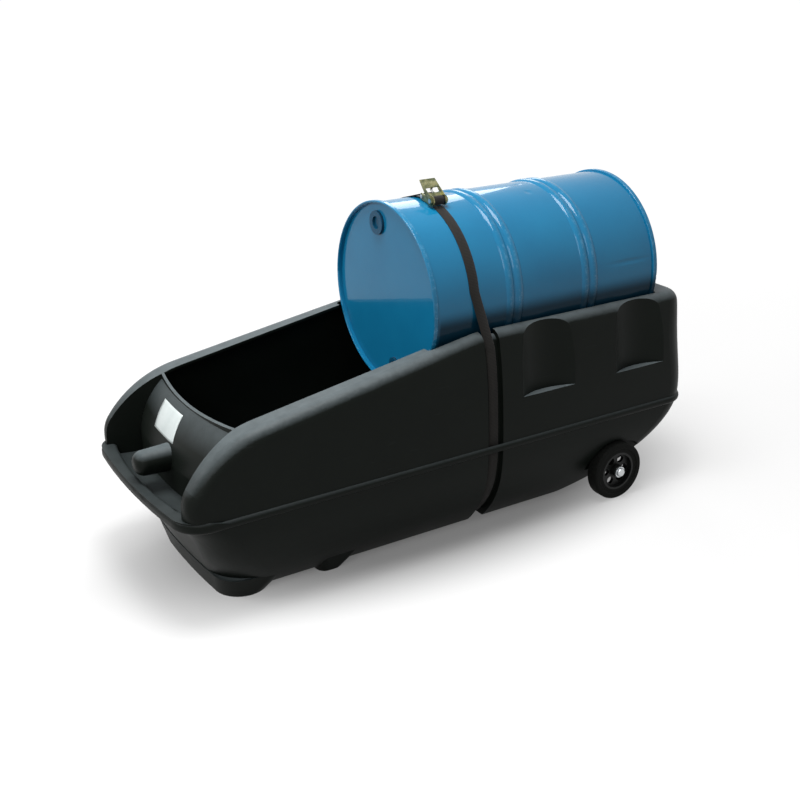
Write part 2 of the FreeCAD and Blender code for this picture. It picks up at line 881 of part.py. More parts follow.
def drum_profile():
    """Half section of the shell as (radius, distance from the front chime)."""
    chime = of("chime_length")
    rounding = of("chime_round")
    chime_in = hoop_radius - of("chime_wall")
    width = of("ridge_width")
    gap = of("ridge_gap")
    proud = hoop_radius - shell
    ridge = (width * width / 4 + proud * proud) / (2 * proud)
    points = [
        (chime_in, rounding),
        (chime_in + rounding, 0, rounding),
        (hoop_radius - rounding, 0),
        (hoop_radius, rounding, rounding),
        (hoop_radius, chime - rounding),
        (hoop_radius - rounding, chime, rounding),
        (shell, chime),
    ]
    for index in range(2):
        middle = of("hoop_place") + index * of("hoop_spacing")
        for start in (middle - gap / 2 - width, middle + gap / 2):
            points.append((shell, start))
            points.append((shell, start + width, ridge))
    points += [
        (shell, drum_length - chime),
        (hoop_radius - rounding, drum_length - chime),
        (hoop_radius, drum_length - chime + rounding, rounding),
        (hoop_radius, drum_length - rounding),
        (hoop_radius - rounding, drum_length, rounding),
        (chime_in + rounding, drum_length),
        (chime_in, drum_length - rounding, rounding),
        (chime_in, drum_length - chime),
        (shell_in, drum_length - chime),
        (shell_in, chime),
        (chime_in, chime),
    ]
    return points


def head_profile():
    """Half section of a sunk head: a flat disc with a turned-up edge inside the chime."""
    outer = hoop_radius - of("chime_wall") - of("fit_gap")
    wall = of("head_wall")
    recess = of("head_recess")
    return [
        (0, recess),
        (outer - wall, recess),
        (outer - wall, of("chime_round")),
        (outer, of("chime_round")),
        (outer, recess + wall),
        (0, recess + wall),
    ]


def closure(size_name, size, sign):
    """Flange, gasket and plug of one closure, drawn outwards from the front head's outer face."""
    radius = size / 2
    neck = radius + of("closure_neck")
    gap = of("fit_gap")
    rim = neck + of("closure_rim")
    height = of("closure_height")
    recess = radius * of("plug_recess_share")
    y = sign * of("closure_reach") * sine(of("closure_angle"))
    z = of("drum_axis_level") + sign * of("closure_reach") * cosine(of("closure_angle"))
    spot = (of("drum_place") + of("head_recess"), y, z, Rotation(Vector(0, 1, 0), -90))
    gasket_low = height + gap
    gasket_high = gasket_low + of("gasket_thickness")
    plug_low = gasket_high + gap
    plug_high = plug_low + of("plug_head")
    flange = revolved(f"{size_name}_flange", [
        (radius + gap, -of("closure_depth")), (neck, -of("closure_depth")), (neck, gap), (rim, gap),
        (rim, height), (radius + gap, height)], *spot)
    gasket = revolved(f"{size_name}_gasket", ring_profile(
        radius + gap, rim - gap, gasket_low, gasket_high), *spot)
    plug = revolved(f"{size_name}_plug", [
        (0, -of("closure_depth")), (radius, -of("closure_depth")), (radius, plug_low), (rim - gap, plug_low),
        (rim - gap, plug_high), (recess, plug_high), (recess, plug_high - of("plug_recess")),
        (0, plug_high - of("plug_recess"))], *spot)
    hole = cylinder(f"{size_name}_hole", neck + gap, 4 * of("head_wall"),
                    of("drum_place") + of("head_recess") - of("head_wall"), y, z, ALONG_X)
    nodes.update({f"{size_name}_flange": flange, f"{size_name}_gasket": gasket, f"{size_name}_plug": plug})
    return hole


drum_spot = (of("drum_place"), 0, of("drum_axis_level"), ALONG_X)
nodes["drum_shell"] = revolved("drum_shell", drum_profile(), *drum_spot)
closure_holes = [closure("large", of("large_plug_diameter"), 1),
                 closure("small", of("small_plug_diameter"), -1)]
front_disc = revolved("front_disc", head_profile(), *drum_spot)
nodes["drum_front_head"] = cut("drum_front_head", front_disc, *closure_holes)
nodes["drum_rear_head"] = revolved(
    "drum_rear_head", head_profile(), of("drum_place") + drum_length, 0, of("drum_axis_level"),
    Rotation(Vector(0, 1, 0), -90))

# Strap: webbing in the tub's groove, up past the rim, over the drum and through the ratchet


def number(alias):
    return of(alias).value


GAP_POINTS = 60


def drawn(name, shape):
    """A piece whose shape is worked out here from the sheet's values."""
    feature = doc.addObject("Part::Feature", name)
    feature.Shape = shape
    return feature


def point(y, z):
    return Vector(0, y, z)


drum_centre = point(0, number("drum_axis_level"))
band_in = shell.value + number("rest_gap")
band_out = band_in + number("strap_thickness")
loop_in = number("anchor_diameter") / 2 + number("rest_gap")
tilt = math.radians(number("ratchet_angle"))
TANGENT = point(math.cos(tilt), math.sin(tilt))
RADIAL = point(-math.sin(tilt), math.cos(tilt))
spindle_out = of("shell_radius") + of("spindle_height")
spindle_centre = drum_centre + RADIAL * spindle_out.value - TANGENT * number("spindle_offset")
anchor_centre = spindle_centre + TANGENT * number("anchor_reach") - RADIAL * number("anchor_drop")


def around(centre, radius, angle):
    """The point at an angle from straight up, positive towards the left side."""
    return centre + point(radius * math.sin(angle), radius * math.cos(angle))


def arc(centre, radius, first, last):
    middle = around(centre, radius, (first + last) / 2)
    return Part.Arc(around(centre, radius, first), middle, around(centre, radius, last))


def wall_at(level):
    """Half width of the tub's outer form at a level above the flange."""
    share = (level - number("flange_level")) / (number("rim_level") + HEADROOM - number("flange_level"))
    return wall_half.value - number("upper_tuck") * share ** 2


def leaving_angle(corner, radius):
    """Where a straight run to an outside corner leaves the drum."""
    away = corner - drum_centre
    return math.atan2(abs(away.y), away.z) - math.acos(radius / away.Length)


def band_face(*sides):
    """The flat section between an inner and an outer run, each a list of joined edges."""
    edges = [edge for side in sides for edge in side]
    for end in (0, -1):
        tips = [side[end].StartPoint if end == 0 else side[end].EndPoint for side in sides]
        edges.append(Part.LineSegment(*tips))
    return Part.Face(Part.Wire(Part.sortEdges([edge.toShape() for edge in edges])[0]))


def drum_band(side, start_angle):
    """One side's section: from an angle on the drum, round it, and straight down into the groove."""
    level = number("strap_lift_level") - number("strap_thickness")
    groove = wall_at(level) - number("groove_depth") + number("rest_gap")
    runs = []
    for radius, extra in ((band_in, 0), (band_out, number("strap_thickness"))):
        corner = point(side * (groove + extra), level)
        angle = side * leaving_angle(corner, radius)
        down = Part.LineSegment(around(drum_centre, radius, angle), corner)
        runs.append([arc(drum_centre, radius, start_angle, angle), down])
    return band_face(*runs)


def anchor_band(landing):
    """The section that bridges from the ratchet's anchor pin to the drum."""
    runs = []
    for extra in (0, number("strap_thickness")):
        start = around(anchor_centre, loop_in + extra, landing)
        runs.append([Part.LineSegment(start, around(drum_centre, band_in + extra, landing))])
    return band_face(*runs)


def strap_ribbon():
    """The upper strap's edges seen from the side: square over the drum, then slanting to the groove."""
    half = number("strap_width") / 2
    levels = ((number("drum_axis_level") + 2 * shell.value, number("strap_place")),
              (number("strap_shift_level"), number("strap_place")),
              (number("strap_lift_level"), number("groove_place")),
              (number("rail_level"), number("groove_place")))
    right = [Vector(x + half, 0, z) for z, x in levels]
    left = [Vector(x - half, 0, z) for z, x in reversed(levels)]
    reach = number("tub_width")
    ribbon = Part.Face(Part.makePolygon(right + left + right[:1]))
    ribbon.translate(Vector(0, -reach, 0))
    return ribbon.extrude(Vector(0, 2 * reach, 0))


def upper_strap():
    """From the winding down the right side, and from the anchor pin over the drum down the left side."""
    away = anchor_centre - drum_centre
    landing = math.atan2(away.y, away.z) + math.acos((band_in - loop_in) / away.Length)
    under_winding = math.atan2(spindle_centre.y, spindle_centre.z - drum_centre.z)
    start = min(number("strap_place"), number("groove_place")) - number("strap_width")
    length = 2 * number("strap_width") + abs(number("groove_place") - number("strap_place"))
    pieces = []
    for face in (drum_band(-1, under_winding), drum_band(1, landing), anchor_band(landing)):
        face.translate(Vector(start, 0, 0))
        pieces.append(face.extrude(Vector(length, 0, 0)))
    loop_start = anchor_centre + Vector(start, 0, 0)
    loop, eye = [Part.makeCylinder(radius, length, loop_start, Vector(1, 0, 0))
                 for radius in (loop_in + number("strap_thickness"), loop_in)]
    pieces.append(loop.cut(eye))
    ribbon = strap_ribbon()
    first, *others = [piece.common(ribbon) for piece in pieces]
    return drawn("strap_upper", first.multiFuse(others).removeSplitter())


def lower_strap():
    """The strap in the tub's groove: a layer between two offset copies of the tub's form."""
    inset = of("groove_depth") - of("rest_gap")
    layer = cut("strap_layer", tub_form("strap_outside", inset - of("strap_thickness")),
                tub_form("strap_inside", inset))
    width = of("strap_width")
    window = box("strap_window", width, 2 * of("tub_width"), of("strap_lift_level") + HEADROOM,
                 of("groove_place") - width / 2, -of("tub_width"), -HEADROOM)
    return common("strap_lower", layer, window)


def turn_gap(inner_run, outer_run):
    """Least distance, on points, from each half turn's outer face to the inner faces two half turns on."""
    gaps = []
    for outer_arc, inner_arc in zip(outer_run, inner_run[2:]):
        points = [run.toShape().discretize(GAP_POINTS) for run in (outer_arc, inner_arc)]
        gaps += [first.distanceToPoint(second) for first in points[0] for second in points[1]]
    return min(gaps)


def strap_winding():
    """Webbing wound on the spindle: a flat spiral of half turns about two centres."""
    thickness = number("strap_thickness") * number("winding_squeeze")
    pitch = thickness + number("winding_gap")
    first = number("spindle_diameter") / 2 + number("winding_gap")
    runs = []
    for extra in (0, thickness):
        run = []
        for index in range(2 * int(number("winding_turns"))):
            centre = point(pitch / 2 if index % 2 else 0, 0)
            start = math.pi * (0.5 + index)
            run.append(arc(centre, first + index * pitch / 2 + extra, start, start + math.pi))
        runs.append(run)
    print("least gap between turns of the winding", round(turn_gap(*runs), 2), "mm")
    face = band_face(*runs)
    width = number("strap_width")
    face.translate(Vector(-width / 2, 0, 0))
    piece = drawn("strap_winding", face.extrude(Vector(width, 0, 0)))
    piece.Placement = Placement(spindle_centre + Vector(number("strap_place"), 0, 0),
                                Rotation(Vector(1, 0, 0), number("ratchet_angle")))
    return piece


nodes["strap_run"] = fuse("strap_run", lower_strap(), upper_strap())
nodes["strap_winding"] = strap_winding()

# Ratchet: pieces drawn about the spindle, with Y along the frame and Z away from the drum

plate = of("plate")
side_gap = of("side_gap")
frame_in = of("frame_gap") / 2
wheel_in = frame_in + plate + side_gap
handle_in = wheel_in + plate + side_gap
handle_out = handle_in + plate
ring_in = handle_out + side_gap
ring_out = ring_in + plate
pawl_tip = of("wheel_tip_radius") + of("pawl_gap")
pawl_back = pawl_tip + of("pawl_length")
pawl_half = of("pawl_thickness") / 2
tab_place = pawl_back + of("spring_room")
angle = of("ratchet_angle")
spindle_y = -(spindle_out * sine(angle)) - of("spindle_offset") * cosine(angle)
spindle_z = of("drum_axis_level") + spindle_out * cosine(angle) - of("spindle_offset") * sine(angle)
ABOUT_X = Vector(1, 0, 0)


def seat(piece, lift=0):
    """Put a piece drawn about the spindle in its place, swung up by a lift angle."""
    place(piece, of("strap_place"), spindle_y, spindle_z, (ABOUT_X, angle + lift))
    return piece


def twin_plates(body, name, inside, corners):
    """Two equal side plates, one each side of the middle plane."""
    for side, start in (("left", inside), ("right", -inside - plate)):
        sketch = outline(sketch_on(body, "YZ_Plane", f"{name}_{side}_outline", start), corners)
        pad(body, sketch, f"{name}_{side}", plate)


def cross_hole(body, name, draw):
    """A hole through both side plates."""
    sketch = draw(sketch_on(body, "YZ_Plane", name + "_sketch"))
    return pocket(body, sketch, name, 4 * ring_out, midplane=True)


def ratchet_frame():
    body = body_called("ratchet_frame")
    reach = of("frame_reach")
    drop = of("frame_drop")
    bend = of("frame_round")
    nose = of("anchor_diameter")
    web = rectangle(sketch_on(body, "YZ_Plane", "frame_web_sketch"),
                    tab_place, reach - nose, -drop, plate - drop)
    pad(body, web, "frame_web", 2 * (frame_in + plate), midplane=True)
    lug = rectangle(sketch_on(body, "YZ_Plane", "frame_lug_sketch"),
                    tab_place, tab_place + plate, plate - drop, of("pawl_thickness"))
    pad(body, lug, "frame_lug", of("spring_diameter"), midplane=True)
    shoulder = of("frame_shoulder")
    twin_plates(body, "frame_plate", frame_in, [
        (reach - nose, -drop),
        (reach, nose - drop, nose),
        (reach, shoulder - nose),
        (reach - nose, shoulder, nose),
        (root(bend * bend - shoulder * shoulder), shoulder),
        (-bend, 0, bend),
        (-bend, bend - drop),
        (0, -drop, bend),
    ])
    cross_hole(body, "frame_spindle_hole", lambda sketch: circle(
        sketch, none, none, of("spindle_diameter") + 2 * of("running_clearance")))
    cross_hole(body, "frame_anchor_hole", lambda sketch: circle(
        sketch, of("anchor_reach"), -of("anchor_drop"), of("anchor_diameter") + 2 * of("running_clearance")))
    gap = of("pawl_gap")
    cross_hole(body, "frame_pawl_slot", lambda sketch: rectangle(
        sketch, pawl_tip - gap, pawl_back + of("pawl_travel") + gap, -pawl_half - gap, pawl_half + gap))
    return seat(body)


def ratchet_handle():
    body = body_called("ratchet_handle")
    reach = of("handle_reach")
    height = of("handle_height")
    bend = of("handle_round")
    start = reach - of("handle_web")
    web = rectangle(sketch_on(body, "YZ_Plane", "handle_web_sketch"),
                    tab_place, reach, height - plate, height)
    pad(body, web, "handle_web", 2 * handle_out, midplane=True)
    lug = rectangle(sketch_on(body, "YZ_Plane", "handle_lug_sketch"),
                    tab_place, tab_place + plate, -pawl_half, height - plate)
    pad(body, lug, "handle_lug", of("spring_diameter"), midplane=True)
    twin_plates(body, "handle_plate", handle_in, [
        (0, -bend, bend),
        (start, 0),
        (reach, height - plate),
        (reach, height),
        (tab_place, height),
        (0, bend),
        (-bend, 0, bend),
    ])
    cross_hole(body, "handle_spindle_hole", lambda sketch: circle(
        sketch, none, none, of("spindle_diameter") + 2 * of("running_clearance")))
    gap = of("pawl_gap")
    cross_hole(body, "handle_pawl_slot", lambda sketch: rectangle(
        sketch, pawl_tip - gap, pawl_back + of("pawl_travel") + gap, -pawl_half - gap, pawl_half + gap))
    return seat(body, of("handle_lift"))


def ratchet_wheel(side, start):
    """A toothed disc: one sloping tooth gap, repeated round the rim."""
    name = f"ratchet_wheel_{side}"
    body = body_called(name)
    tip = of("wheel_tip_radius")
    disc = circle(sketch_on(body, "YZ_Plane", name + "_disc_sketch", start), none, none, 2 * tip)
    pad(body, disc, name + "_disc", plate)
    bore = circle(sketch_on(body, "YZ_Plane", name + "_bore_sketch", start), none, none,
                  of("spindle_diameter") + 2 * of("running_clearance"))
    pocket(body, bore, name + "_bore", 4 * plate, midplane=True)
    tooth = of("tooth_depth")
    gap = outline(sketch_on(body, "YZ_Plane", name + "_gap_sketch", start), [
        (tip - tooth, 0),
        (tip + tooth, 0),
        (tip + tooth, 2 * tooth),
        (tip - tooth / 4, 2 * tooth),
    ])
    notch = pocket(body, gap, name + "_notch", 4 * plate, midplane=True)
    pattern = body.newObject("PartDesign::PolarPattern", name + "_teeth")
    pattern.Originals = [notch]
    pattern.Axis = (gap, ["N_Axis"])
    pattern.Angle = 360
    bind(pattern, Occurrences=of("tooth_count"))
    body.Tip = pattern
    return seat(body)


def ratchet_spindle():
    body = body_called("spindle")
    rod = circle(sketch_on(body, "YZ_Plane", "spindle_sketch"), none, none, of("spindle_diameter"))
    pad(body, rod, "spindle_rod", 2 * ring_out, midplane=True)
    half = of("spindle_slot") / 2
    slot = rectangle(sketch_on(body, "XY_Plane", "spindle_slot_sketch"),
                     plate - frame_in, frame_in - plate, -half, half)
    pocket(body, slot, "spindle_slot", 2 * of("spindle_diameter"), midplane=True)
    return seat(body)


def end_ring(side, start):
    name = f"spindle_ring_{side}"
    body = body_called(name)
    sketch = sketch_on(body, "YZ_Plane", name + "_sketch", start)
    circle(sketch, none, none, of("spindle_diameter") + 2 * of("running_clearance"))
    circle(sketch, none, none, of("spindle_diameter") + 4 * plate)
    pad(body, sketch, name + "_pad", plate)
    return seat(body)


def anchor_pin():
    body = body_called("anchor_pin")
    shank = circle(sketch_on(body, "YZ_Plane", "anchor_sketch"), of("anchor_reach"), -of("anchor_drop"),
                   of("anchor_diameter"))
    pad(body, shank, "anchor_shank", 2 * (frame_in + 2 * plate), midplane=True)
    for side, start in (("left", frame_in + plate + of("fit_gap")), ("right", -frame_in - 2 * plate)):
        head = circle(sketch_on(body, "YZ_Plane", f"anchor_head_{side}_sketch", start), of("anchor_reach"),
                      -of("anchor_drop"), of("anchor_diameter") + 2 * plate)
        pad(body, head, f"anchor_head_{side}", plate - of("fit_gap"))
    return seat(body)


def pawl(name, half_width, lift):
    """A flat pawl that slides in the plates' slots, its tips just clear of the tooth tips."""
    body = body_called(name)
    gap = of("pawl_nose")
    profile = outline(sketch_on(body, "YZ_Plane", name + "_sketch"), [
        (pawl_tip + gap, -pawl_half),
        (pawl_back, -pawl_half),
        (pawl_back, pawl_half),
        (pawl_tip, pawl_half),
        (pawl_tip, pawl_half - gap),
    ])
    pad(body, profile, name + "_pad", 2 * half_width, midplane=True)
    return seat(body, lift)


def pawl_spring(name, lift):
    """A short coil spring between a pawl's back and the lug behind it, as a sleeve."""
    body = body_called(name)
    radius = of("spring_diameter") / 2
    wire = of("spring_wire")
    start = pawl_back + of("fit_gap")
    end = tab_place - of("fit_gap")
    sketch = outline(sketch_on(body, "XY_Plane", name + "_sketch"),
                     ring_profile(radius - wire, radius, start, end))
    turned = body.newObject("PartDesign::Revolution", name + "_turn")
    turned.Profile = sketch
    turned.ReferenceAxis = (sketch, ["V_Axis"])
    return seat(body, lift)


nodes["ratchet_frame"] = ratchet_frame()
nodes["ratchet_handle"] = ratchet_handle()
nodes["ratchet_wheels"] = fuse("ratchet_wheels", ratchet_wheel("left", wheel_in),
                               ratchet_wheel("right", -wheel_in - plate))
nodes["spindle"] = ratchet_spindle()
nodes["spindle_rings"] = fuse("spindle_rings", end_ring("left", ring_in), end_ring("right", -ring_out))
nodes["anchor_pin"] = anchor_pin()
nodes["drive_pawl"] = pawl("drive_pawl", handle_out + side_gap, of("handle_lift"))
nodes["lock_pawl"] = pawl("lock_pawl", wheel_in + plate, none)
nodes["drive_spring"] = pawl_spring("drive_spring", of("handle_lift"))
nodes["lock_spring"] = pawl_spring("lock_spring", none)

# Check everything, then write one file per piece

doc.recompute()
for thing in doc.Objects:
    if "Invalid" in thing.State or "Error" in thing.State:
        raise RuntimeError(f"{thing.Name}: {thing.State}")
for name, thing in nodes.items():
    thing.Label = name
    if thing.Shape.isNull() or not thing.Shape.isValid() or not thing.Shape.Solids:
        raise RuntimeError(f"{name} has no sound solid")
os.makedirs("parts", exist_ok=True)
for name, thing in nodes.items():
    thing.Shape.exportStep(f"parts/{name}.step")
    print(name, len(thing.Shape.Solids), round(thing.Shape.Volume / 1e3, 2), "cm3")
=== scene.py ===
# %% [markdown]
# # A drum trolley, dressed in Blender
# The object is a moulded plastic trolley that carries a steel drum on its side, held by a ratchet strap.
# Its rigid pieces come from a CAD model and stay as they are. Blender adds what CAD leaves out: the finish
# of each surface, the woven strap with its sewn eye, the ratchet's coil springs and the blank label on the
# front panel.

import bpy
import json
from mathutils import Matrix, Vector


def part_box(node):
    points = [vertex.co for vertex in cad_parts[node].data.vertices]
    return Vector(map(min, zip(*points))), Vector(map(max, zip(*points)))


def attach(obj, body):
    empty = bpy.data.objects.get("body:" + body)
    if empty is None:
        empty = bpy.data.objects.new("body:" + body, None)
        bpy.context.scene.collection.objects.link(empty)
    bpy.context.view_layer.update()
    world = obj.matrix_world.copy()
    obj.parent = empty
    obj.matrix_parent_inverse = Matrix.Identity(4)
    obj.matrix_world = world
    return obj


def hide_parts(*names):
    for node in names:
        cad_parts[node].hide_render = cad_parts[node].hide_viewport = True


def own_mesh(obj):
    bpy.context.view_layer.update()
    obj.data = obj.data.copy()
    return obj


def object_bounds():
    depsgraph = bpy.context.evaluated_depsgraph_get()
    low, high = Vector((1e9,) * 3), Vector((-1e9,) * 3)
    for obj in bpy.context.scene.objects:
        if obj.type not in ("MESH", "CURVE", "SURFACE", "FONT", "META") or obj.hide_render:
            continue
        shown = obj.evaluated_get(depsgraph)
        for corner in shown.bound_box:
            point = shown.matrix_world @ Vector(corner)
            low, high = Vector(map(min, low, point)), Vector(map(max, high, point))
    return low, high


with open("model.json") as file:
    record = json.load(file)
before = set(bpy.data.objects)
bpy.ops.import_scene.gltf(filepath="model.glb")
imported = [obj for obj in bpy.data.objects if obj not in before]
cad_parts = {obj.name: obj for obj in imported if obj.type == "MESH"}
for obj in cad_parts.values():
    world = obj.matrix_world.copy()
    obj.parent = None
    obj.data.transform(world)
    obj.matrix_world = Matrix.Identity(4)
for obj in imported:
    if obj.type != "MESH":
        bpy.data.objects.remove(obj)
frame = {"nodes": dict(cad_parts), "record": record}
CAD_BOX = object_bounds()

# %% [markdown]
# Everything below is in metres, in the frame of the CAD model: X runs from the grip rail to the wheels,
# Y across, Z up, and the floor is at zero. Small sizes read better in millimetres, so one value turns them.

# %% Units and imports
import json
import math

import bmesh
import bpy
from mathutils import Vector
from mathutils.bvhtree import BVHTree

MM = 0.001
print("the trolley is", [round(high - low, 3) for low, high in zip(*CAD_BOX)], "metres")

# %% [markdown]
# A shader works with linear light, while a colour given here is an sRGB hex value. One function turns one
# into the other, so every colour in this file can be read as it looks on a screen.


# %% Colours
def linear(hex_colour):
    """An sRGB hex colour as linear red, green, blue and full opacity."""
    shares = [int(hex_colour[place:place + 2], 16) / 255 for place in (1, 3, 5)]
    return (*[s / 12.92 if s <= 0.04045 else ((s + 0.055) / 1.055) ** 2.4 for s in shares], 1.0)


print("mid grey #808080 is", round(linear("#808080")[0], 3), "in linear light")

# %% [markdown]
# Materials are built from nodes. One small function adds a node, sets its properties and fills its inputs
# with values or links, which keeps each recipe below short enough to read as a list.


# %% Nodes
def add_node(tree, kind, inputs=None, **settings):
    """One node with its settings; an input is a value, or a socket of another node to link from."""
    made = tree.nodes.new("ShaderNode" + kind)
    for name, value in settings.items():
        setattr(made, name, value)
    for name, value in (inputs or {}).items():
        if isinstance(value, bpy.types.NodeSocket):
            tree.links.new(value, made.inputs[name])
        else:
            made.inputs[name].default_value = value
    return made


def new_finish(name, **surface):
    """A material with its node tree and its shader, whose sockets are named with _ for a space."""
    finish = bpy.data.materials.new(name)
    finish.use_nodes = True
    shader = finish.node_tree.nodes["Principled BSDF"]
    for socket, value in surface.items():
        shader.inputs[socket.replace("_", " ")].default_value = value
    return finish, finish.node_tree, shader


# The two colours and the result of a colour Mix node are known by their place.
FACTOR, FIRST_COLOUR, SECOND_COLOUR, MIXED = 0, 6, 7, 2


def per(size_mm):
    """The scale of a noise whose spots are about this many millimetres across."""
    return 1 / (size_mm * MM)


def bands_per(spacing_mm):
    """The scale of a wave texture whose bands lie this many millimetres apart."""
    return 2 * math.pi / (20 * spacing_mm * MM)


print("a 5 mm grain has scale", per(5), "and 5 mm bands have scale", round(bands_per(5), 1))

# %% [markdown]
# ## The tub: rotomoulded polyethylene
# Black polyethylene powder is melted against the inside of a heated mould. The skin that comes out is satin,
# with a faint orange peel, a slightly uneven gloss, and a grey bloom where it faces up, partly dust and partly
# painted light from the sky above. A plain black would hide the moulded shape, so the gloss and the bloom are
# what draw it. The peel is drawn 5 mm wide, coarser than the real 1 to 2 mm, so that it shows from a few steps
# away.

# %% Dust and painted top light on what faces up
BLOOM_FADED_BELOW = 340 * MM
BLOOM_FULL_FROM = 405 * MM


def dust_and_top_light(tree, place):
    """How pale a surface is from dust and painted top light on what faces up, from 0 for none to 1."""
    facing = add_node(tree, "SeparateXYZ", {"Vector": add_node(tree, "NewGeometry").outputs["Normal"]})
    lying = add_node(tree, "MapRange", {"Value": facing.outputs["Z"], "From Min": 0.43, "From Max": 0.95})
    drift = add_node(tree, "TexNoise", {"Vector": place, "Scale": per(45), "Detail": 6.0, "Roughness": 0.65})
    lay = add_node(tree, "MapRange", {"Value": drift.outputs["Fac"], "From Min": 0.25, "From Max": 0.75,
                                      "To Min": 0.55, "To Max": 0.84})
    facing_up_pale = add_node(tree, "Math", {0: lying.outputs["Result"], 1: lay.outputs["Result"]},
                       operation="MULTIPLY")
    # the bloom fades out low down, so the flange and the feet are darker than the rims above them
    height = add_node(tree, "SeparateXYZ", {"Vector": place})
    paler_above = add_node(tree, "MapRange", {"Value": height.outputs["Z"], "From Min": BLOOM_FADED_BELOW,
                                        "From Max": BLOOM_FULL_FROM, "To Min": 0.28})
    dust_and_light = add_node(tree, "Math", {0: facing_up_pale.outputs["Value"], 1: paler_above.outputs["Result"]},
                     operation="MULTIPLY")
    return dust_and_light.outputs["Value"]


# the bloom, partly dust and partly painted top light, is full above this height
print("the dust lies thickest above", round(BLOOM_FULL_FROM / MM), "mm")


# %% Rotomoulded polyethylene
def rotomoulded_polyethylene():
    finish, tree, shader = new_finish("rotomoulded_polyethylene", IOR=1.51, Specular_IOR_Level=0.08)
    place = add_node(tree, "TexCoord").outputs["Object"]
    mottle = add_node(tree, "TexNoise", {"Vector": place, "Scale": per(140), "Detail": 4.0})
    skin = add_node(tree, "Mix", {
        FACTOR: mottle.outputs["Fac"], FIRST_COLOUR: linear("#0c100d"), SECOND_COLOUR: linear("#151916"),
    }, data_type="RGBA")
    # painted top light: what faces up is made paler, partly dust and partly painted light from above
    dusty_and_lit = add_node(tree, "Mix", {
        FACTOR: dust_and_top_light(tree, place), FIRST_COLOUR: skin.outputs[MIXED], SECOND_COLOUR: linear("#6d7679"),
    }, data_type="RGBA")
    # long pale scuffs from handling run along the tub
    along = add_node(tree, "Mapping", {"Vector": place, "Scale": (0.12, 1.0, 1.0)})
    scuff = add_node(tree, "TexNoise", {"Vector": along.outputs["Vector"], "Scale": per(9), "Detail": 3.0})
    scraped = add_node(tree, "MapRange", {"Value": scuff.outputs["Fac"], "From Min": 0.68, "From Max": 0.76,
                                          "To Max": 0.2})
    worn = add_node(tree, "Mix", {
        FACTOR: scraped.outputs["Result"], FIRST_COLOUR: dusty_and_lit.outputs[MIXED], SECOND_COLOUR: linear("#2c302f"),
    }, data_type="RGBA")
    tree.links.new(worn.outputs[MIXED], shader.inputs["Base Color"])
    gloss = add_node(tree, "MapRange", {"Value": mottle.outputs["Fac"], "To Min": 0.34, "To Max": 0.50})
    tree.links.new(gloss.outputs["Result"], shader.inputs["Roughness"])
    peel = add_node(tree, "TexNoise", {"Vector": place, "Scale": per(5), "Detail": 2.0})
    bump = add_node(tree, "Bump", {"Height": peel.outputs["Fac"], "Strength": 0.25, "Distance": 0.4 * MM})
    tree.links.new(bump.outputs["Normal"], shader.inputs["Normal"])
    return finish


POLYETHYLENE = rotomoulded_polyethylene()
print("made", POLYETHYLENE.name)

# %% [markdown]
# ## The drum: stove enamel on sheet steel
# A steel drum is sprayed and baked. The enamel is glossy, with a low ripple from the sprayed coat. The rolling
# hoops rub on floors and other drums, so the paint there is scuffed. The wear is masked by the distance from
# the drum's axis, which the CAD model gives, so that it stays on the hoops and the chimes. Low down, where the
# drum lies in the tub, the shell is painted darker and duller as painted shade, and a few shallow dents break
# its reflections. The dents are too flat to see in outline, so a bump in the finish is enough for them.

# %% Where the drum lies
drum_low, drum_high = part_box("drum_shell")
DRUM_AXIS_Z = (drum_low.z + drum_high.z) / 2
HOOP_RADIUS = (drum_high.z - drum_low.z) / 2
print("drum axis at", round(DRUM_AXIS_Z, 4), "hoop radius", round(HOOP_RADIUS, 4))

# %% Scuffs on the hoops
SCUFF_DEEP = HOOP_RADIUS - 1.6 * MM
SCUFF_PROUD = HOOP_RADIUS - 0.4 * MM


def hoop_scuffs(tree, place, reach):
    """How far the paint is rubbed, on what stands furthest from the drum's axis."""
    proud = add_node(tree, "MapRange", {"Value": reach, "From Min": SCUFF_DEEP, "From Max": SCUFF_PROUD})
    chafe = add_node(tree, "TexNoise", {"Vector": place, "Scale": per(14), "Detail": 5.0, "Roughness": 0.7})
    chafed = add_node(tree, "MapRange", {"Value": chafe.outputs["Fac"], "From Min": 0.48, "From Max": 0.72,
                                         "To Max": 0.6})
    rubbed = add_node(tree, "Math", {0: proud.outputs["Result"], 1: chafed.outputs["Result"]},
                      operation="MULTIPLY")
    return rubbed.outputs["Value"]


print("the paint is scuffed from radius", round(SCUFF_DEEP, 4))

# %% Painted shade low down
LOW_SHADE_FULL = DRUM_AXIS_Z - 44 * MM
LOW_SHADE_EDGE = DRUM_AXIS_Z + 12 * MM


def painted_low_shade(tree, place, reach):
    """How strong the painted shade is: strong low on the shell, none on the heads and the front chime."""
    spot = add_node(tree, "SeparateXYZ", {"Vector": place})
    low = add_node(tree, "MapRange", {"Value": spot.outputs["Z"], "From Min": LOW_SHADE_FULL, "From Max": LOW_SHADE_EDGE,
                                      "To Min": 0.9, "To Max": 0.0}, interpolation_type="SMOOTHSTEP")
    shell = add_node(tree, "MapRange", {"Value": reach, "From Min": HOOP_RADIUS - 20 * MM,
                                        "From Max": HOOP_RADIUS - 12 * MM})
    behind = add_node(tree, "MapRange", {"Value": spot.outputs["X"], "From Min": drum_low.x + 12 * MM,
                                         "From Max": drum_low.x + 30 * MM})
    side = add_node(tree, "Math", {0: shell.outputs["Result"], 1: behind.outputs["Result"]},
                    operation="MULTIPLY")
    film = add_node(tree, "Math", {0: low.outputs["Result"], 1: side.outputs["Value"]}, operation="MULTIPLY")
    return film.outputs["Value"]


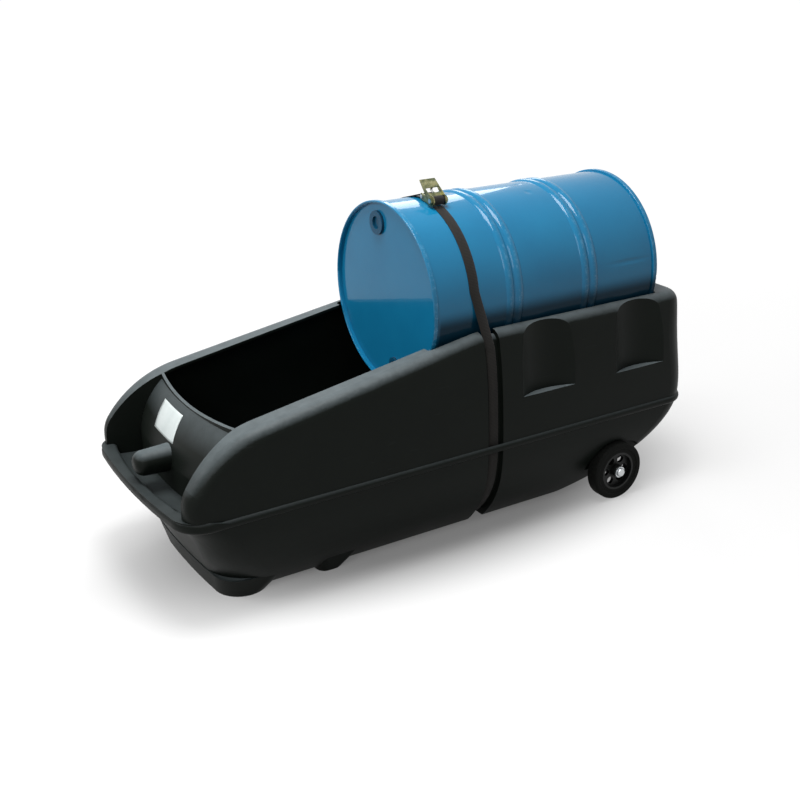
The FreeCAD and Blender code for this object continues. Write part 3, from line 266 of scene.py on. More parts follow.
# the painted shade fades out at this height above the drum's axis
print("the film fades out", round((LOW_SHADE_EDGE - DRUM_AXIS_Z) / MM), "mm above the drum's axis")

# %% Dents
# the middle and the size of each shallow dent, in millimetres
KNOCKS = [((426, -76, 1022), (18, 18, 18)), ((430, -8, 1031), (26, 9, 20)), ((690, -281, 801), (110, 40, 13))]
KNOCK_DEPTH = 1.5 * MM


def knocked(tree, place, normal):
    """The normal with each knock pressed in as a smooth hollow, deepest at its middle."""
    for middle, size in KNOCKS:
        near = add_node(tree, "Mapping", {"Vector": place, "Scale": [1 / (s * MM) for s in size],
                                          "Location": [-m / s for m, s in zip(middle, size)]})
        off = add_node(tree, "VectorMath", {0: near.outputs["Vector"]}, operation="LENGTH")
        hollow = add_node(tree, "MapRange", {"Value": off.outputs["Value"]}, interpolation_type="SMOOTHSTEP")
        bump = add_node(tree, "Bump", {"Height": hollow.outputs["Result"], "Distance": KNOCK_DEPTH,
                                       "Normal": normal})
        normal = bump.outputs["Normal"]
    return normal


print("the drum has", len(KNOCKS), "dents")


# %% Stove enamel
def stove_enamel():
    finish, tree, shader = new_finish("stove_enamel_on_steel", IOR=1.52, Specular_IOR_Level=0.03,
                                      Coat_Roughness=0.03)
    place = add_node(tree, "TexCoord").outputs["Object"]
    cloud = add_node(tree, "TexNoise", {"Vector": place, "Scale": per(210), "Detail": 3.0})
    paint = add_node(tree, "Mix", {
        FACTOR: cloud.outputs["Fac"], FIRST_COLOUR: linear("#0f6993"), SECOND_COLOUR: linear("#187da8"),
    }, data_type="RGBA")
    # distance from the drum's axis, which lies along X
    across = add_node(tree, "Mapping", {"Vector": place, "Location": (0, 0, -DRUM_AXIS_Z), "Scale": (0, 1, 1)})
    reach = add_node(tree, "VectorMath", {0: across.outputs["Vector"]}, operation="LENGTH").outputs["Value"]
    rubbed = hoop_scuffs(tree, place, reach)
    worn = add_node(tree, "Mix", {
        FACTOR: rubbed, FIRST_COLOUR: paint.outputs[MIXED], SECOND_COLOUR: linear("#5f9cc0"),
    }, data_type="RGBA")
    # painted shade: low on the shell the colour darkens and the coat thins, in place of the shade and the tub's
    # dark reflection
    film = painted_low_shade(tree, place, reach)
    shaded_low = add_node(tree, "Mix", {
        FACTOR: film, FIRST_COLOUR: worn.outputs[MIXED], SECOND_COLOUR: linear("#0b222e"),
    }, data_type="RGBA")
    tree.links.new(shaded_low.outputs[MIXED], shader.inputs["Base Color"])
    sheen = add_node(tree, "MapRange", {"Value": film, "To Min": 0.48, "To Max": 0.06})
    tree.links.new(sheen.outputs["Result"], shader.inputs["Coat Weight"])
    gloss = add_node(tree, "MapRange", {"Value": rubbed, "To Min": 0.2, "To Max": 0.5})
    tree.links.new(gloss.outputs["Result"], shader.inputs["Roughness"])
    ripple = add_node(tree, "TexNoise", {"Vector": place, "Scale": per(30), "Detail": 2.0})
    bump = add_node(tree, "Bump", {"Height": ripple.outputs["Fac"], "Strength": 0.12, "Distance": 1.0 * MM})
    dented = knocked(tree, place, bump.outputs["Normal"])
    tree.links.new(dented, shader.inputs["Normal"])
    tree.links.new(dented, shader.inputs["Coat Normal"])
    return finish


ENAMEL = stove_enamel()
print("made", ENAMEL.name)

# %% [markdown]
# The two closures in the drum's front head are pressed steel plugs, painted in a darker coat than the drum.


# %% Painted closure
def painted_closure():
    finish, tree, shader = new_finish("painted_pressed_steel", IOR=1.5, Specular_IOR_Level=0.06,
                                      Coat_Weight=0.2, Coat_Roughness=0.06)
    place = add_node(tree, "TexCoord").outputs["Object"]
    handling = add_node(tree, "TexNoise", {"Vector": place, "Scale": per(7), "Detail": 4.0})
    coat = add_node(tree, "Mix", {
        FACTOR: handling.outputs["Fac"], FIRST_COLOUR: linear("#0a3850"), SECOND_COLOUR: linear("#16587a"),
    }, data_type="RGBA")
    tree.links.new(coat.outputs[MIXED], shader.inputs["Base Color"])
    gloss = add_node(tree, "MapRange", {"Value": handling.outputs["Fac"], "To Min": 0.22, "To Max": 0.4})
    tree.links.new(gloss.outputs["Result"], shader.inputs["Roughness"])
    return finish


CLOSURE_PAINT = painted_closure()
print("made", CLOSURE_PAINT.name)

# %% [markdown]
# ## The ratchet: yellow passivated zinc on pressed steel
# Ratchet buckles are stamped from sheet steel, zinc plated and dipped in a yellow chromate. The film is thin
# enough to show drifting tints of olive, straw and pink, and it wears to bright zinc where hands rub it.


# %% Yellow passivated zinc
def yellow_zinc():
    finish, tree, shader = new_finish("yellow_passivated_zinc", Metallic=1.0)
    place = add_node(tree, "TexCoord").outputs["Object"]
    drift = add_node(tree, "TexNoise", {"Vector": place, "Scale": per(16), "Detail": 3.0})
    tint = add_node(tree, "MapRange", {"Value": drift.outputs["Fac"], "From Min": 0.38, "From Max": 0.62})
    film = add_node(tree, "Mix", {
        FACTOR: tint.outputs["Result"], FIRST_COLOUR: linear("#5d6347"), SECOND_COLOUR: linear("#93906a"),
    }, data_type="RGBA")
    rub = add_node(tree, "TexNoise", {"Vector": place, "Scale": per(5), "Detail": 4.0})
    rubbed = add_node(tree, "MapRange", {"Value": rub.outputs["Fac"], "From Min": 0.55, "From Max": 0.75,
                                         "To Max": 0.35})
    worn = add_node(tree, "Mix", {
        FACTOR: rubbed.outputs["Result"], FIRST_COLOUR: film.outputs[MIXED], SECOND_COLOUR: linear("#c6cab8"),
    }, data_type="RGBA")
    tree.links.new(worn.outputs[MIXED], shader.inputs["Base Color"])
    gloss = add_node(tree, "MapRange", {"Value": rub.outputs["Fac"], "To Min": 0.22, "To Max": 0.42})
    tree.links.new(gloss.outputs["Result"], shader.inputs["Roughness"])
    return finish


YELLOW_ZINC = yellow_zinc()
print("made", YELLOW_ZINC.name)

# %% [markdown]
# ## Pins, axle and caps: bright zinc on turned steel
# Turned pieces keep the fine rings of the lathe tool under the plating, which stretch a highlight. Here a fine
# noise stands for the grain of the plating, 3 mm wide so that it shows.


# %% Bright zinc
def bright_zinc():
    finish, tree, shader = new_finish("bright_zinc_on_turned_steel", Metallic=1.0)
    place = add_node(tree, "TexCoord").outputs["Object"]
    grain = add_node(tree, "TexNoise", {"Vector": place, "Scale": per(3), "Detail": 3.0})
    plate = add_node(tree, "Mix", {
        FACTOR: grain.outputs["Fac"], FIRST_COLOUR: linear("#a9adb0"), SECOND_COLOUR: linear("#cfd2d3"),
    }, data_type="RGBA")
    tree.links.new(plate.outputs[MIXED], shader.inputs["Base Color"])
    gloss = add_node(tree, "MapRange", {"Value": grain.outputs["Fac"], "To Min": 0.2, "To Max": 0.36})
    tree.links.new(gloss.outputs["Result"], shader.inputs["Roughness"])
    return finish


BRIGHT_ZINC = bright_zinc()
print("made", BRIGHT_ZINC.name)

# %% [markdown]
# ## Wheels: moulded rubber tyres on nylon hubs
# Solid rubber is matt and picks up grey dust, most of all on the tread. The moulded nylon hub is a little
# glossier. Both are nearly black, so their gloss has to tell them apart.


# %% Moulded blacks
def moulded_black(name, dark, pale, matt, glossy, spots_mm, **surface):
    finish, tree, shader = new_finish(name, **surface)
    place = add_node(tree, "TexCoord").outputs["Object"]
    dust = add_node(tree, "TexNoise", {"Vector": place, "Scale": per(spots_mm), "Detail": 5.0})
    film = add_node(tree, "MapRange", {"Value": dust.outputs["Fac"], "From Min": 0.35, "From Max": 0.75})
    skin = add_node(tree, "Mix", {
        FACTOR: film.outputs["Result"], FIRST_COLOUR: linear(dark), SECOND_COLOUR: linear(pale),
    }, data_type="RGBA")
    tree.links.new(skin.outputs[MIXED], shader.inputs["Base Color"])
    gloss = add_node(tree, "MapRange", {"Value": dust.outputs["Fac"], "To Min": glossy, "To Max": matt})
    tree.links.new(gloss.outputs["Result"], shader.inputs["Roughness"])
    bump = add_node(tree, "Bump", {"Height": dust.outputs["Fac"], "Strength": 0.2, "Distance": 0.3 * MM})
    tree.links.new(bump.outputs["Normal"], shader.inputs["Normal"])
    return finish


TYRE_RUBBER = moulded_black("moulded_tyre_rubber", "#0c0d0c", "#171816", 0.85, 0.6, 12, Specular_IOR_Level=0.08)
HUB_NYLON = moulded_black("moulded_nylon", "#0e0f0f", "#171918", 0.5, 0.34, 20, Specular_IOR_Level=0.2)
SEAL_RUBBER = moulded_black("nitrile_seal_rubber", "#0f0f10", "#1b1b1c", 0.7, 0.5, 4, Specular_IOR_Level=0.35)
BUSH_ACETAL = moulded_black("moulded_acetal", "#d9d4c5", "#e8e4d8", 0.5, 0.35, 6, Specular_IOR_Level=0.5)
print("made", TYRE_RUBBER.name, HUB_NYLON.name, SEAL_RUBBER.name, BUSH_ACETAL.name)

# %% [markdown]
# ## The strap: woven polyester webbing
# Strap webbing is a flat narrow weave: warp yarns run along it as ribs, and a weft yarn crosses under each of
# them. The ribs are drawn 3.5 mm apart, coarser than the real 1.5 mm, so that they show. The pattern follows
# the strap through its UV map, which below holds real lengths along and across the webbing.


# %% Woven webbing
def woven_webbing():
    finish, tree, shader = new_finish("woven_polyester_webbing", Sheen_Weight=0.08, Sheen_Roughness=0.5,
                                      Specular_IOR_Level=0.25)
    place = add_node(tree, "TexCoord").outputs["UV"]
    warp = add_node(tree, "TexWave", {"Vector": place, "Scale": bands_per(3.5)}, bands_direction="Y")
    weft = add_node(tree, "TexWave", {"Vector": place, "Scale": bands_per(4.5)}, bands_direction="X")
    weave = add_node(tree, "Math", {0: warp.outputs["Fac"], 1: weft.outputs["Fac"]}, operation="MULTIPLY")
    yarn = add_node(tree, "Mix", {
        FACTOR: weave.outputs["Value"], FIRST_COLOUR: linear("#131211"), SECOND_COLOUR: linear("#2d2a27"),
    }, data_type="RGBA")
    soil = add_node(tree, "TexNoise", {"Vector": place, "Scale": per(60), "Detail": 4.0})
    grime = add_node(tree, "MapRange", {"Value": soil.outputs["Fac"], "From Min": 0.4, "From Max": 0.75,
                                        "To Max": 0.5})
    used = add_node(tree, "Mix", {
        FACTOR: grime.outputs["Result"], FIRST_COLOUR: yarn.outputs[MIXED], SECOND_COLOUR: linear("#1f1d19"),
    }, data_type="RGBA")
    tree.links.new(used.outputs[MIXED], shader.inputs["Base Color"])
    gloss = add_node(tree, "MapRange", {"Value": weave.outputs["Value"], "To Min": 0.9, "To Max": 0.6})
    tree.links.new(gloss.outputs["Result"], shader.inputs["Roughness"])
    bump = add_node(tree, "Bump", {"Height": weave.outputs["Value"], "Strength": 0.6, "Distance": 0.5 * MM})
    tree.links.new(bump.outputs["Normal"], shader.inputs["Normal"])
    return finish


WEBBING = woven_webbing()
print("made", WEBBING.name)

# %% [markdown]
# ## Give every CAD piece its finish
# The record names a material slot for each piece, so the finishes follow the slots and no list of pieces is
# needed. The meshes themselves stay as they came.

# %% Assign the finishes
FINISH_OF_SLOT = {
    "tub": POLYETHYLENE, "tyre": TYRE_RUBBER, "hub": HUB_NYLON, "bush": BUSH_ACETAL, "steel": BRIGHT_ZINC,
    "drum": ENAMEL, "closure": CLOSURE_PAINT, "gasket": SEAL_RUBBER, "webbing": WEBBING, "ratchet": YELLOW_ZINC,
}
for subpart in frame["record"]["subparts"]:
    mesh = frame["nodes"][subpart["node"]].data
    mesh.materials.clear()
    mesh.materials.append(FINISH_OF_SLOT[subpart["material_slot"]])

# %% [markdown]
# ## The strap's route
# One strap goes round the drum and the tub: up the near side and under the ratchet's spindle, down through the
# groove, under the belly, up the far side and over to the ratchet's anchor pin. It could be drawn by hand, but
# the CAD model already holds a plain band on that route. Rays from a point inside the loop meet the band's
# inner face all the way round, and the webbing is laid on those points.


# %% Find the band in the frame
def surface_of(node):
    """A search tree over one CAD piece, for rays."""
    mesh = frame["nodes"][node].data
    return BVHTree.FromPolygons([v.co for v in mesh.vertices], [p.vertices for p in mesh.polygons])


band = surface_of("strap_run")
_, band_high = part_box("strap_run")
roll_low, roll_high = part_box("strap_winding")
STRAP_WIDTH = roll_high.x - roll_low.x
TOP_X = (roll_low.x + roll_high.x) / 2
GROOVE_X = band_high.x - STRAP_WIDTH / 2
BAND_THICKNESS = 2.0 * MM
LOOP_MIDDLE = Vector((0, 0, 500 * MM))
ROUGH_REACH = 320 * MM
# between these heights the strap slants from the ratchet's place to the groove's
SLANT_TOP = 800 * MM
SLANT_FOOT = 620 * MM
print("strap", round(STRAP_WIDTH, 4), "wide, at x", round(TOP_X, 4), "above and", round(GROOVE_X, 4), "below")


# %% Walk round the band
def strap_x(height):
    """Where the middle of the strap runs at this height."""
    share = min(max((SLANT_TOP - height) / (SLANT_TOP - SLANT_FOOT), 0), 1)
    return TOP_X + share * (GROOVE_X - TOP_X)


def band_point(angle):
    """The middle of the band's thickness, seen from inside the loop at this angle from straight up."""
    out = Vector((0, math.sin(angle), math.cos(angle)))
    found = LOOP_MIDDLE + out * ROUGH_REACH
    for _ in range(4):
        found = band.ray_cast(Vector((strap_x(found.z), *LOOP_MIDDLE.yz)), out)[0]
    return found + out * BAND_THICKNESS / 2


UNDER_SPINDLE = math.radians(-9)
LANDING = math.radians(-352.5)
STEPS = 260
walk = [band_point(UNDER_SPINDLE + (LANDING - UNDER_SPINDLE) * step / STEPS) for step in range(STEPS + 1)]
length = sum((b - a).length for a, b in zip(walk, walk[1:]))
print("the strap's loop is", round(length, 3), "metres long without its eye")

# %% [markdown]
# ## The sewn eye on the anchor pin
# The far end of the webbing goes over the anchor pin, round it and back under itself, where it is sewn. The
# straight run touches the pin's loop and the drum like a belt on two pulleys, so its direction follows from
# the two circles: a drum of one radius, a pin of another, and the distance between their middles.

# %% Wrap the pin
pin_low, pin_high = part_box("anchor_pin")
pin = Vector((TOP_X, (pin_low.y + pin_high.y) / 2, (pin_low.z + pin_high.z) / 2))
axis = Vector((TOP_X, 0, DRUM_AXIS_Z))
PIN_PLAY = 0.3 * MM
EYE_RADIUS = (pin_high.z - pin_low.z) / 2 + PIN_PLAY + BAND_THICKNESS / 2
strap_radius = (walk[0] - axis).yz.length
lean = math.acos((strap_radius - EYE_RADIUS) / (pin - axis).length) - math.atan2(axis.y - pin.y, pin.z - axis.z)
EYE_WRAP = math.radians(215)
WRAP_STEPS = 20
eye = []
for step in range(WRAP_STEPS + 1):
    turn = lean - EYE_WRAP * step / WRAP_STEPS
    eye.append(pin + EYE_RADIUS * Vector((0, math.sin(turn), math.cos(turn))))
run_out = Vector((0, math.cos(lean), -math.sin(lean)))
inward = Vector((0, -math.sin(lean), -math.cos(lean)))
SEAM_START = 26 * MM
SEAM_END = 62 * MM
PLY = 2.05 * MM
touch = eye[0]
for reach in (SEAM_START, (SEAM_START + SEAM_END) / 2, SEAM_END):
    eye.append(touch + run_out * reach + inward * PLY)
print("the eye leans", round(math.degrees(lean), 2), "degrees and is sewn over",
      round((SEAM_END - SEAM_START) / MM), "mm")


# %% [markdown]
# ## Weave the band along its route
# Webbing keeps its width across X while its route bends in the other two directions. So each point of the
# route gets one flat cross-section with softened selvedges, and neighbouring sections are joined by faces. The
# UV map holds metres along and across, which the woven finish reads.


# %% The flat section
WEBBING_THICKNESS = 1.8 * MM
SELVEDGE = 0.9 * MM
# the webbing is a little thicker along its middle than beside the selvedges
CROWN = 1.08
half = STRAP_WIDTH / 2
face = WEBBING_THICKNESS / 2
SECTION = [(-half, 0), (SELVEDGE - half, face), (0, face * CROWN), (half - SELVEDGE, face),
           (half, 0), (half - SELVEDGE, -face), (0, -face * CROWN), (SELVEDGE - half, -face)]


def piece_from(shape, name, finish):
    """A finished bmesh as an object of the scene, in one finish."""
    mesh = bpy.data.meshes.new(name)
    shape.to_mesh(mesh)
    shape.free()
    mesh.materials.append(finish)
    piece = bpy.data.objects.new(name, mesh)
    bpy.context.scene.collection.objects.link(piece)
    return piece


print("the webbing's section has", len(SECTION), "corners")


# %% Sweep the section
def sweep_webbing(name, route):
    """The section moved along a route that bends in Y and Z, as one closed piece."""
    shape = bmesh.new()
    lay = shape.loops.layers.uv.new("webbing")
    rows, along = [], 0.0
    for index, point in enumerate(route):
        before = route[max(index - 1, 0)]
        after = route[min(index + 1, len(route) - 1)]
        along += (point - before).length
        way = (after - before).normalized()
        up = Vector((1, 0, 0)).cross(way).normalized()
        ring = [shape.verts.new(point + Vector((side, 0, 0)) + up * lift) for side, lift in SECTION]
        rows.append((ring, along))
    for (ring, start), (following, end) in zip(rows, rows[1:]):
        for corner in range(len(SECTION)):
            beside = (corner + 1) % len(SECTION)
            face = shape.faces.new((ring[corner], ring[beside], following[beside], following[corner]))
            face.smooth = True
            places = ((start, corner), (start, beside), (end, beside), (end, corner))
            for loop, (u, spot) in zip(face.loops, places):
                loop[lay].uv = (u, SECTION[spot][0])
    for ring, _ in (rows[0], rows[-1]):
        shape.faces.new(ring)
    bmesh.ops.recalc_face_normals(shape, faces=shape.faces)
    return piece_from(shape, name, WEBBING)


strap = sweep_webbing("strap_webbing", walk + eye)
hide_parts("strap_run")
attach(strap, "trolley")
print("wove", strap.name, "with", len(strap.data.polygons), "faces")

# %% [markdown]
# ## The roll on the spindle
# The near end goes through the slot of the spindle and is wound up on it. A spiral whose radius grows by one
# pitch each turn gives the roll, from the spindle out to the size that the CAD winding has.

# %% Wind the roll
spindle_low, spindle_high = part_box("spindle")
spindle = Vector((TOP_X, (spindle_low.y + spindle_high.y) / 2, (spindle_low.z + spindle_high.z) / 2))
ROLL_TURNS = 3
TURN_STEPS = 40
ROLL_START = math.radians(160)
ROLL_PLAY = 0.4 * MM
roll_outer = (roll_high.z - roll_low.z) / 2 - WEBBING_THICKNESS / 2
roll_inner = (spindle_high.z - spindle_low.z) / 2 + ROLL_PLAY + WEBBING_THICKNESS / 2
winding = []
for step in range(ROLL_TURNS * TURN_STEPS + 1):
    share = step / (ROLL_TURNS * TURN_STEPS)
    turn = ROLL_START + 2 * math.pi * ROLL_TURNS * share
    radius = roll_outer + (roll_inner - roll_outer) * share
    winding.append(spindle + radius * Vector((0, math.sin(turn), math.cos(turn))))
roll = sweep_webbing("strap_roll", winding)
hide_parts("strap_winding")
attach(roll, "spindle")
print("wound", ROLL_TURNS, "turns from radius", round(roll_outer, 4), "to", round(roll_inner, 4))

# %% [markdown]
# ## The stitches of the eye
# Rows of lockstitch hold the eye. Each stitch is a short thread that bulges from the webbing and dips at its
# ends, so it is made as a small pointed loaf. The rows run across the two plies between the seam's two ends.


# %% Bonded polyester thread
def sewing_thread():
    finish, tree, shader = new_finish("bonded_polyester_thread", Roughness=0.6, Sheen_Weight=0.2)
    place = add_node(tree, "TexCoord").outputs["Object"]
    twist = add_node(tree, "TexNoise", {"Vector": place, "Scale": per(1.5), "Detail": 2.0})
    ply = add_node(tree, "Mix", {
        FACTOR: twist.outputs["Fac"], FIRST_COLOUR: linear("#191718"), SECOND_COLOUR: linear("#3d3638"),
    }, data_type="RGBA")
    tree.links.new(ply.outputs[MIXED], shader.inputs["Base Color"])
    return finish


THREAD = sewing_thread()
print("made", THREAD.name)

# %% Sew the eye
STITCH_ROWS = 6
STITCHES_ACROSS = 8
STITCH_WIDTH = 0.8 * MM
STITCH_RISE = 0.5 * MM
# half the length of a stitch, as a share of the distance to the next
STITCH_REACH = 0.42
SEAM_MARGIN = 3 * MM
sewn = bmesh.new()
pitch = (STRAP_WIDTH - 2 * SEAM_MARGIN) / STITCHES_ACROSS
for row in range(STITCH_ROWS):
    reach = SEAM_START + SEAM_MARGIN + (SEAM_END - SEAM_START - 2 * SEAM_MARGIN) * row / (STITCH_ROWS - 1)
    line = touch + run_out * reach - inward * WEBBING_THICKNESS / 2
    for place in range(STITCHES_ACROSS):
        middle = line + Vector(((place + 0.5 - STITCHES_ACROSS / 2) * pitch, 0, 0))
        ends = [middle + Vector((side * pitch * STITCH_REACH, 0, 0)) for side in (-1, 1)]
        sides = [middle + run_out * side * STITCH_WIDTH / 2 for side in (-1, 1)]
        tips = [sewn.verts.new(p) for p in (ends[0], sides[0], ends[1], sides[1])]
        top = sewn.verts.new(middle - inward * STITCH_RISE)
        for a, b in zip(tips, tips[1:] + tips[:1]):
            sewn.faces.new((a, b, top)).smooth = True
        sewn.faces.new(tips)
bmesh.ops.recalc_face_normals(sewn, faces=sewn.faces)
stitching = piece_from(sewn, "eye_stitching", THREAD)
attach(stitching, "trolley")
print("sewed", STITCH_ROWS * STITCHES_ACROSS, "stitches")

# %% [markdown]
# ## The pawl springs
# Behind each pawl a short coil spring pushes it into the teeth. The CAD model has a plain sleeve there. A coil
# is wound from round wire with its end turns laid close, so a ring of points is moved along a helix whose rise
# slows down at both ends. The real spring gets shorter when its pawl is pulled.

# %% Wind a coil of wire
WIRE = 0.9 * MM
WIRE_SIDES = 8
COIL_TURNS = 6
COIL_STEPS = 20
CLOSED_ENDS = 0.6


def wire_coil(middle, way, span, width):
    """A bmesh of round wire, wound along a direction to this length and this width over all."""
    across = Vector((1, 0, 0))
    beside = way.cross(across)
    helix = (width - WIRE) / 2
    corners = [2 * math.pi * corner / WIRE_SIDES for corner in range(WIRE_SIDES)]
    shape = bmesh.new()
    rings = []
    for step in range(COIL_TURNS * COIL_STEPS + 1):
        share = step / (COIL_TURNS * COIL_STEPS)
        turn = 2 * math.pi * COIL_TURNS * share
        rise = share - CLOSED_ENDS * math.sin(2 * math.pi * share) / (2 * math.pi)
        out = across * math.cos(turn) + beside * math.sin(turn)
        point = middle + way * (rise - 0.5) * (span - WIRE) + out * helix
        rings.append([shape.verts.new(point + (out * math.cos(a) + way * math.sin(a)) * WIRE / 2)
                      for a in corners])
    for ring, following in zip(rings, rings[1:]):
        for corner in range(WIRE_SIDES):
            after = (corner + 1) % WIRE_SIDES
            shape.faces.new((ring[corner], ring[after], following[after], following[corner])).smooth = True
    for ring in (rings[0], rings[-1]):
        shape.faces.new(ring)
    bmesh.ops.recalc_face_normals(shape, faces=shape.faces)
    return shape


print("a coil has", COIL_TURNS, "turns of", round(WIRE / MM, 2), "mm wire")


# %% Put a spring behind each pawl
def coil_spring(name, sleeve, body, joint):
    """A coil in place of a plain sleeve, wound along its pawl's slide."""
    slide = next(row for row in frame["record"]["behaviour"]["joints"] if row["name"] == joint)
    way = Vector(slide["axis"]).normalized()
    low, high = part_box(sleeve)
    middle, size = (low + high) / 2, high - low
    # the sleeve leans in Y and Z and is as wide as its box is along X, which gives its length
    span = (size.y - size.x * way.z) / way.y
    coil = piece_from(wire_coil(middle, way, span, size.x), name, BRIGHT_ZINC)
    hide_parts(sleeve)
    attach(coil, body)
    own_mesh(coil)
    return span


for name, sleeve, body, joint in (("drive_coil", "drive_spring", "handle", "drive_pawl_slide"),
                                  ("lock_coil", "lock_spring", "trolley", "lock_pawl_slide")):
    print(name, "is", round(coil_spring(name, sleeve, body, joint) / MM, 2), "mm long at rest")

# %% [markdown]
# ## The blank label
# A blank sheet of self-adhesive film is stuck on the front panel. It follows the panel's curve, so a grid of
# points is cast onto the panel along X and lifted by the film's thickness.


# %% Self-adhesive vinyl
def vinyl_film():
    finish, tree, shader = new_finish("self_adhesive_vinyl_film", IOR=1.54, Coat_Weight=0.3,
                                      Coat_Roughness=0.15)
    place = add_node(tree, "TexCoord").outputs["Object"]
    smear = add_node(tree, "TexNoise", {"Vector": place, "Scale": per(35), "Detail": 5.0})
    film = add_node(tree, "Mix", {
        FACTOR: smear.outputs["Fac"], FIRST_COLOUR: linear("#dbe3e2"), SECOND_COLOUR: linear("#bfc9c8"),
    }, data_type="RGBA")
    tree.links.new(film.outputs[MIXED], shader.inputs["Base Color"])
    gloss = add_node(tree, "MapRange", {"Value": smear.outputs["Fac"], "To Min": 0.3, "To Max": 0.5})
    tree.links.new(gloss.outputs["Result"], shader.inputs["Roughness"])
    return finish


VINYL = vinyl_film()
print("made", VINYL.name)

# %% Lay the label on the panel
LABEL_MIDDLE_Y = 59 * MM
LABEL_WIDTH = 155 * MM
LABEL_TOP = 500 * MM
LABEL_FOOT = 426 * MM
# it is stuck on a little askew: its foot lies this much nearer
LABEL_SKEW = 15 * MM
FILM_THICKNESS = 0.4 * MM
GRID = 12
IN_FRONT = CAD_BOX[0][0] - 100 * MM
panel = surface_of("tub")
sheet = bmesh.new()
lattice = []
for row in range(GRID + 1):
    height = LABEL_TOP + (LABEL_FOOT - LABEL_TOP) * row / GRID
    line = []
    for column in range(GRID + 1):
        side = LABEL_MIDDLE_Y + LABEL_WIDTH * (column / GRID - 0.5) + LABEL_SKEW * (0.5 - row / GRID)
        found, facing, _, _ = panel.ray_cast(Vector((IN_FRONT, side, height)), Vector((1, 0, 0)))
        line.append(sheet.verts.new(found + facing * FILM_THICKNESS))
    lattice.append(line)
for upper, lower in zip(lattice, lattice[1:]):
    for column in range(GRID):
        sheet.faces.new((upper[column], lower[column], lower[column + 1], upper[column + 1])).smooth = True
label = piece_from(sheet, "blank_label", VINYL)
film = label.modifiers.new("film", "SOLIDIFY")
film.thickness = FILM_THICKNESS
film.offset = 0
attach(label, "trolley")
print("stuck on", label.name)

# %% [markdown]
# ## Floor, light and background
# A pale floor takes the trolley's shadow, and in an oval round the trolley a painted shadow darkens it more. To
# the camera, and in the gloss of paint and metal, the floor glows a little and the world is white, so the
# picture has a white ground without more light on the object.

# %% Floor
FLOOR_SIZE = 160
# the distances between which the glow grows
GLOW_FROM = 1.2
GLOW_TO = 5.0
# half the length and half the width of an oval round the trolley, where the floor has a painted shadow
SHADE_LENGTH = 1.0
SHADE_WIDTH = 0.5


def seen_directly(tree):
    """1 for rays from the camera, from gloss and through glass, 0 for the light that falls on things."""
    path = add_node(tree, "LightPath")
    first = add_node(tree, "Math", {0: path.outputs["Is Camera Ray"], 1: path.outputs["Is Glossy Ray"]},
                     operation="MAXIMUM")
    both = add_node(tree, "Math", {0: first.outputs["Value"], 1: path.outputs["Is Transmission Ray"]},
                    operation="MAXIMUM")
    return both.outputs["Value"]


def pale_floor():
    finish, tree, shader = new_finish("pale_studio_floor", Base_Color=linear("#a4a4a4"), Roughness=0.9,
                                      Specular_IOR_Level=0.0, Emission_Color=linear("#ffffff"))
    # the lamps fade with distance, so the glow grows to keep the ground white
    place = add_node(tree, "NewGeometry").outputs["Position"]
    away = add_node(tree, "VectorMath", {0: place}, operation="LENGTH")
    far = add_node(tree, "MapRange", {"Value": away.outputs["Value"], "From Min": GLOW_FROM,
                                      "From Max": GLOW_TO, "To Max": 0.27})
    # painted shadow: in the oval under and round the trolley the floor hardly glows, so its real shadow stays
    # dark
    # and the lit floor there is darker too: 1 is the edge of the oval
    oval = add_node(tree, "Mapping", {"Vector": place, "Scale": (1 / SHADE_LENGTH, 1 / SHADE_WIDTH, 0)})
    out = add_node(tree, "VectorMath", {0: oval.outputs["Vector"]}, operation="LENGTH")
    near = add_node(tree, "MapRange", {"Value": out.outputs["Value"], "From Min": 0.6, "From Max": 1.3,
                                       "To Min": 0.12, "To Max": 0.66}, interpolation_type="SMOOTHSTEP")
    need = add_node(tree, "Math", {0: near.outputs["Result"], 1: far.outputs["Result"]})
    glow = add_node(tree, "Math", {0: seen_directly(tree), 1: need.outputs["Value"]}, operation="MULTIPLY")
    tree.links.new(glow.outputs["Value"], shader.inputs["Emission Strength"])
    return finish


bpy.ops.mesh.primitive_plane_add(size=FLOOR_SIZE, location=(0, 0, 0))
floor = bpy.context.object
floor.name = "floor"
floor.data.materials.append(pale_floor())
print("laid a floor of", FLOOR_SIZE, "metres")

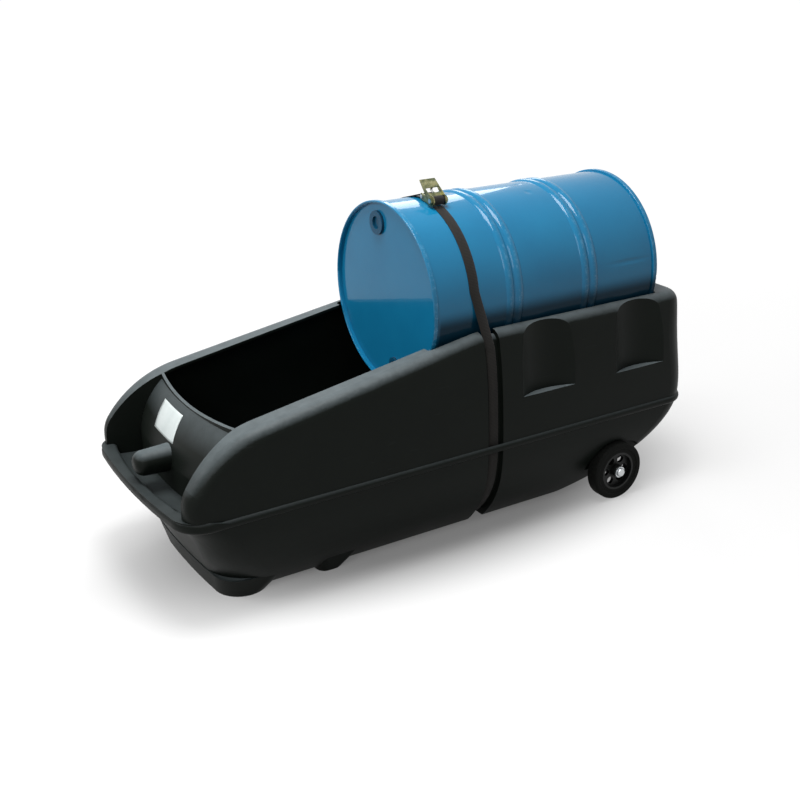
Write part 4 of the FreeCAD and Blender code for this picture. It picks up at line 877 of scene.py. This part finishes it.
# %% World
world = bpy.data.worlds.new("white_studio")
world.use_nodes = True
bpy.context.scene.world = world
FILL = 0.22
ground = world.node_tree.nodes["Background"]
ground.inputs["Color"].default_value = linear("#ffffff")
level = add_node(world.node_tree, "MapRange", {"Value": seen_directly(world.node_tree), "To Min": FILL,
                                               "To Max": 1.0})
world.node_tree.links.new(level.outputs["Result"], ground.inputs["Strength"])
print("world fill", FILL)

# %% [markdown]
# The day in the picture comes from a wide bright sky above and behind: rims and the drum's top are light, and
# the near side is in soft shade. A large lamp overhead stands for that sky, and a small one behind lights the
# drum's far edge. Two weaker panels in front, one to the far side and one to the near side, shape the front
# panel and the wings.


# %% Lamps
def soft_lamp(name, place, target, size, power):
    light = bpy.data.lights.new(name, "AREA")
    light.shape = "RECTANGLE"
    light.size, light.size_y = size
    light.energy = power
    lamp = bpy.data.objects.new(name, light)
    lamp.location = place
    lamp.rotation_euler = (Vector(target) - Vector(place)).to_track_quat("-Z", "Y").to_euler()
    bpy.context.scene.collection.objects.link(lamp)


soft_lamp("overhead_sky", (-0.4, -0.15, 3.4), (-0.2, 0, 0.5), (1.5, 1.3), 86)
soft_lamp("left_panel", (-3.2, 0.9, 2.2), (-0.4, 0, 0.5), (1.8, 1.8), 45)
soft_lamp("near_panel", (-2.6, -2.4, 2.6), (-0.6, 0.2, 0.4), (1.6, 1.6), 30)
soft_lamp("back_sky", (2.0, 2.9, 2.7), (0, 0, 0.9), (1.1, 1.3), 22)
print("hung the lamps")

# %% [markdown]
# ## Camera
# The camera stands where the photographer stood, off the near front corner and about 3.9 metres from the
# trolley's middle, looking down by 22 degrees. Those numbers come from fitting a camera to the drum's known
# size.

# %% Camera
eye_place = Vector((-1.9215, -3.0979, 1.8599))
yaw, dip = math.radians(33.42), math.radians(21.91)
aim = Vector((math.sin(yaw) * math.cos(dip), math.cos(yaw) * math.cos(dip), -math.sin(dip)))
lens = bpy.data.cameras.new("camera")
lens.lens = 54.28
lens.sensor_width = 36
lens.shift_x = -0.0447
lens.shift_y = -0.0071
camera = bpy.data.objects.new("camera", lens)
camera.location = eye_place
camera.rotation_euler = aim.to_track_quat("-Z", "Y").to_euler()
bpy.context.scene.collection.objects.link(camera)
bpy.context.scene.camera = camera
bpy.context.scene.view_settings.view_transform = "Standard"
print("camera", round((eye_place - Vector((0, 0, 0.5))).length, 2), "metres from the trolley")
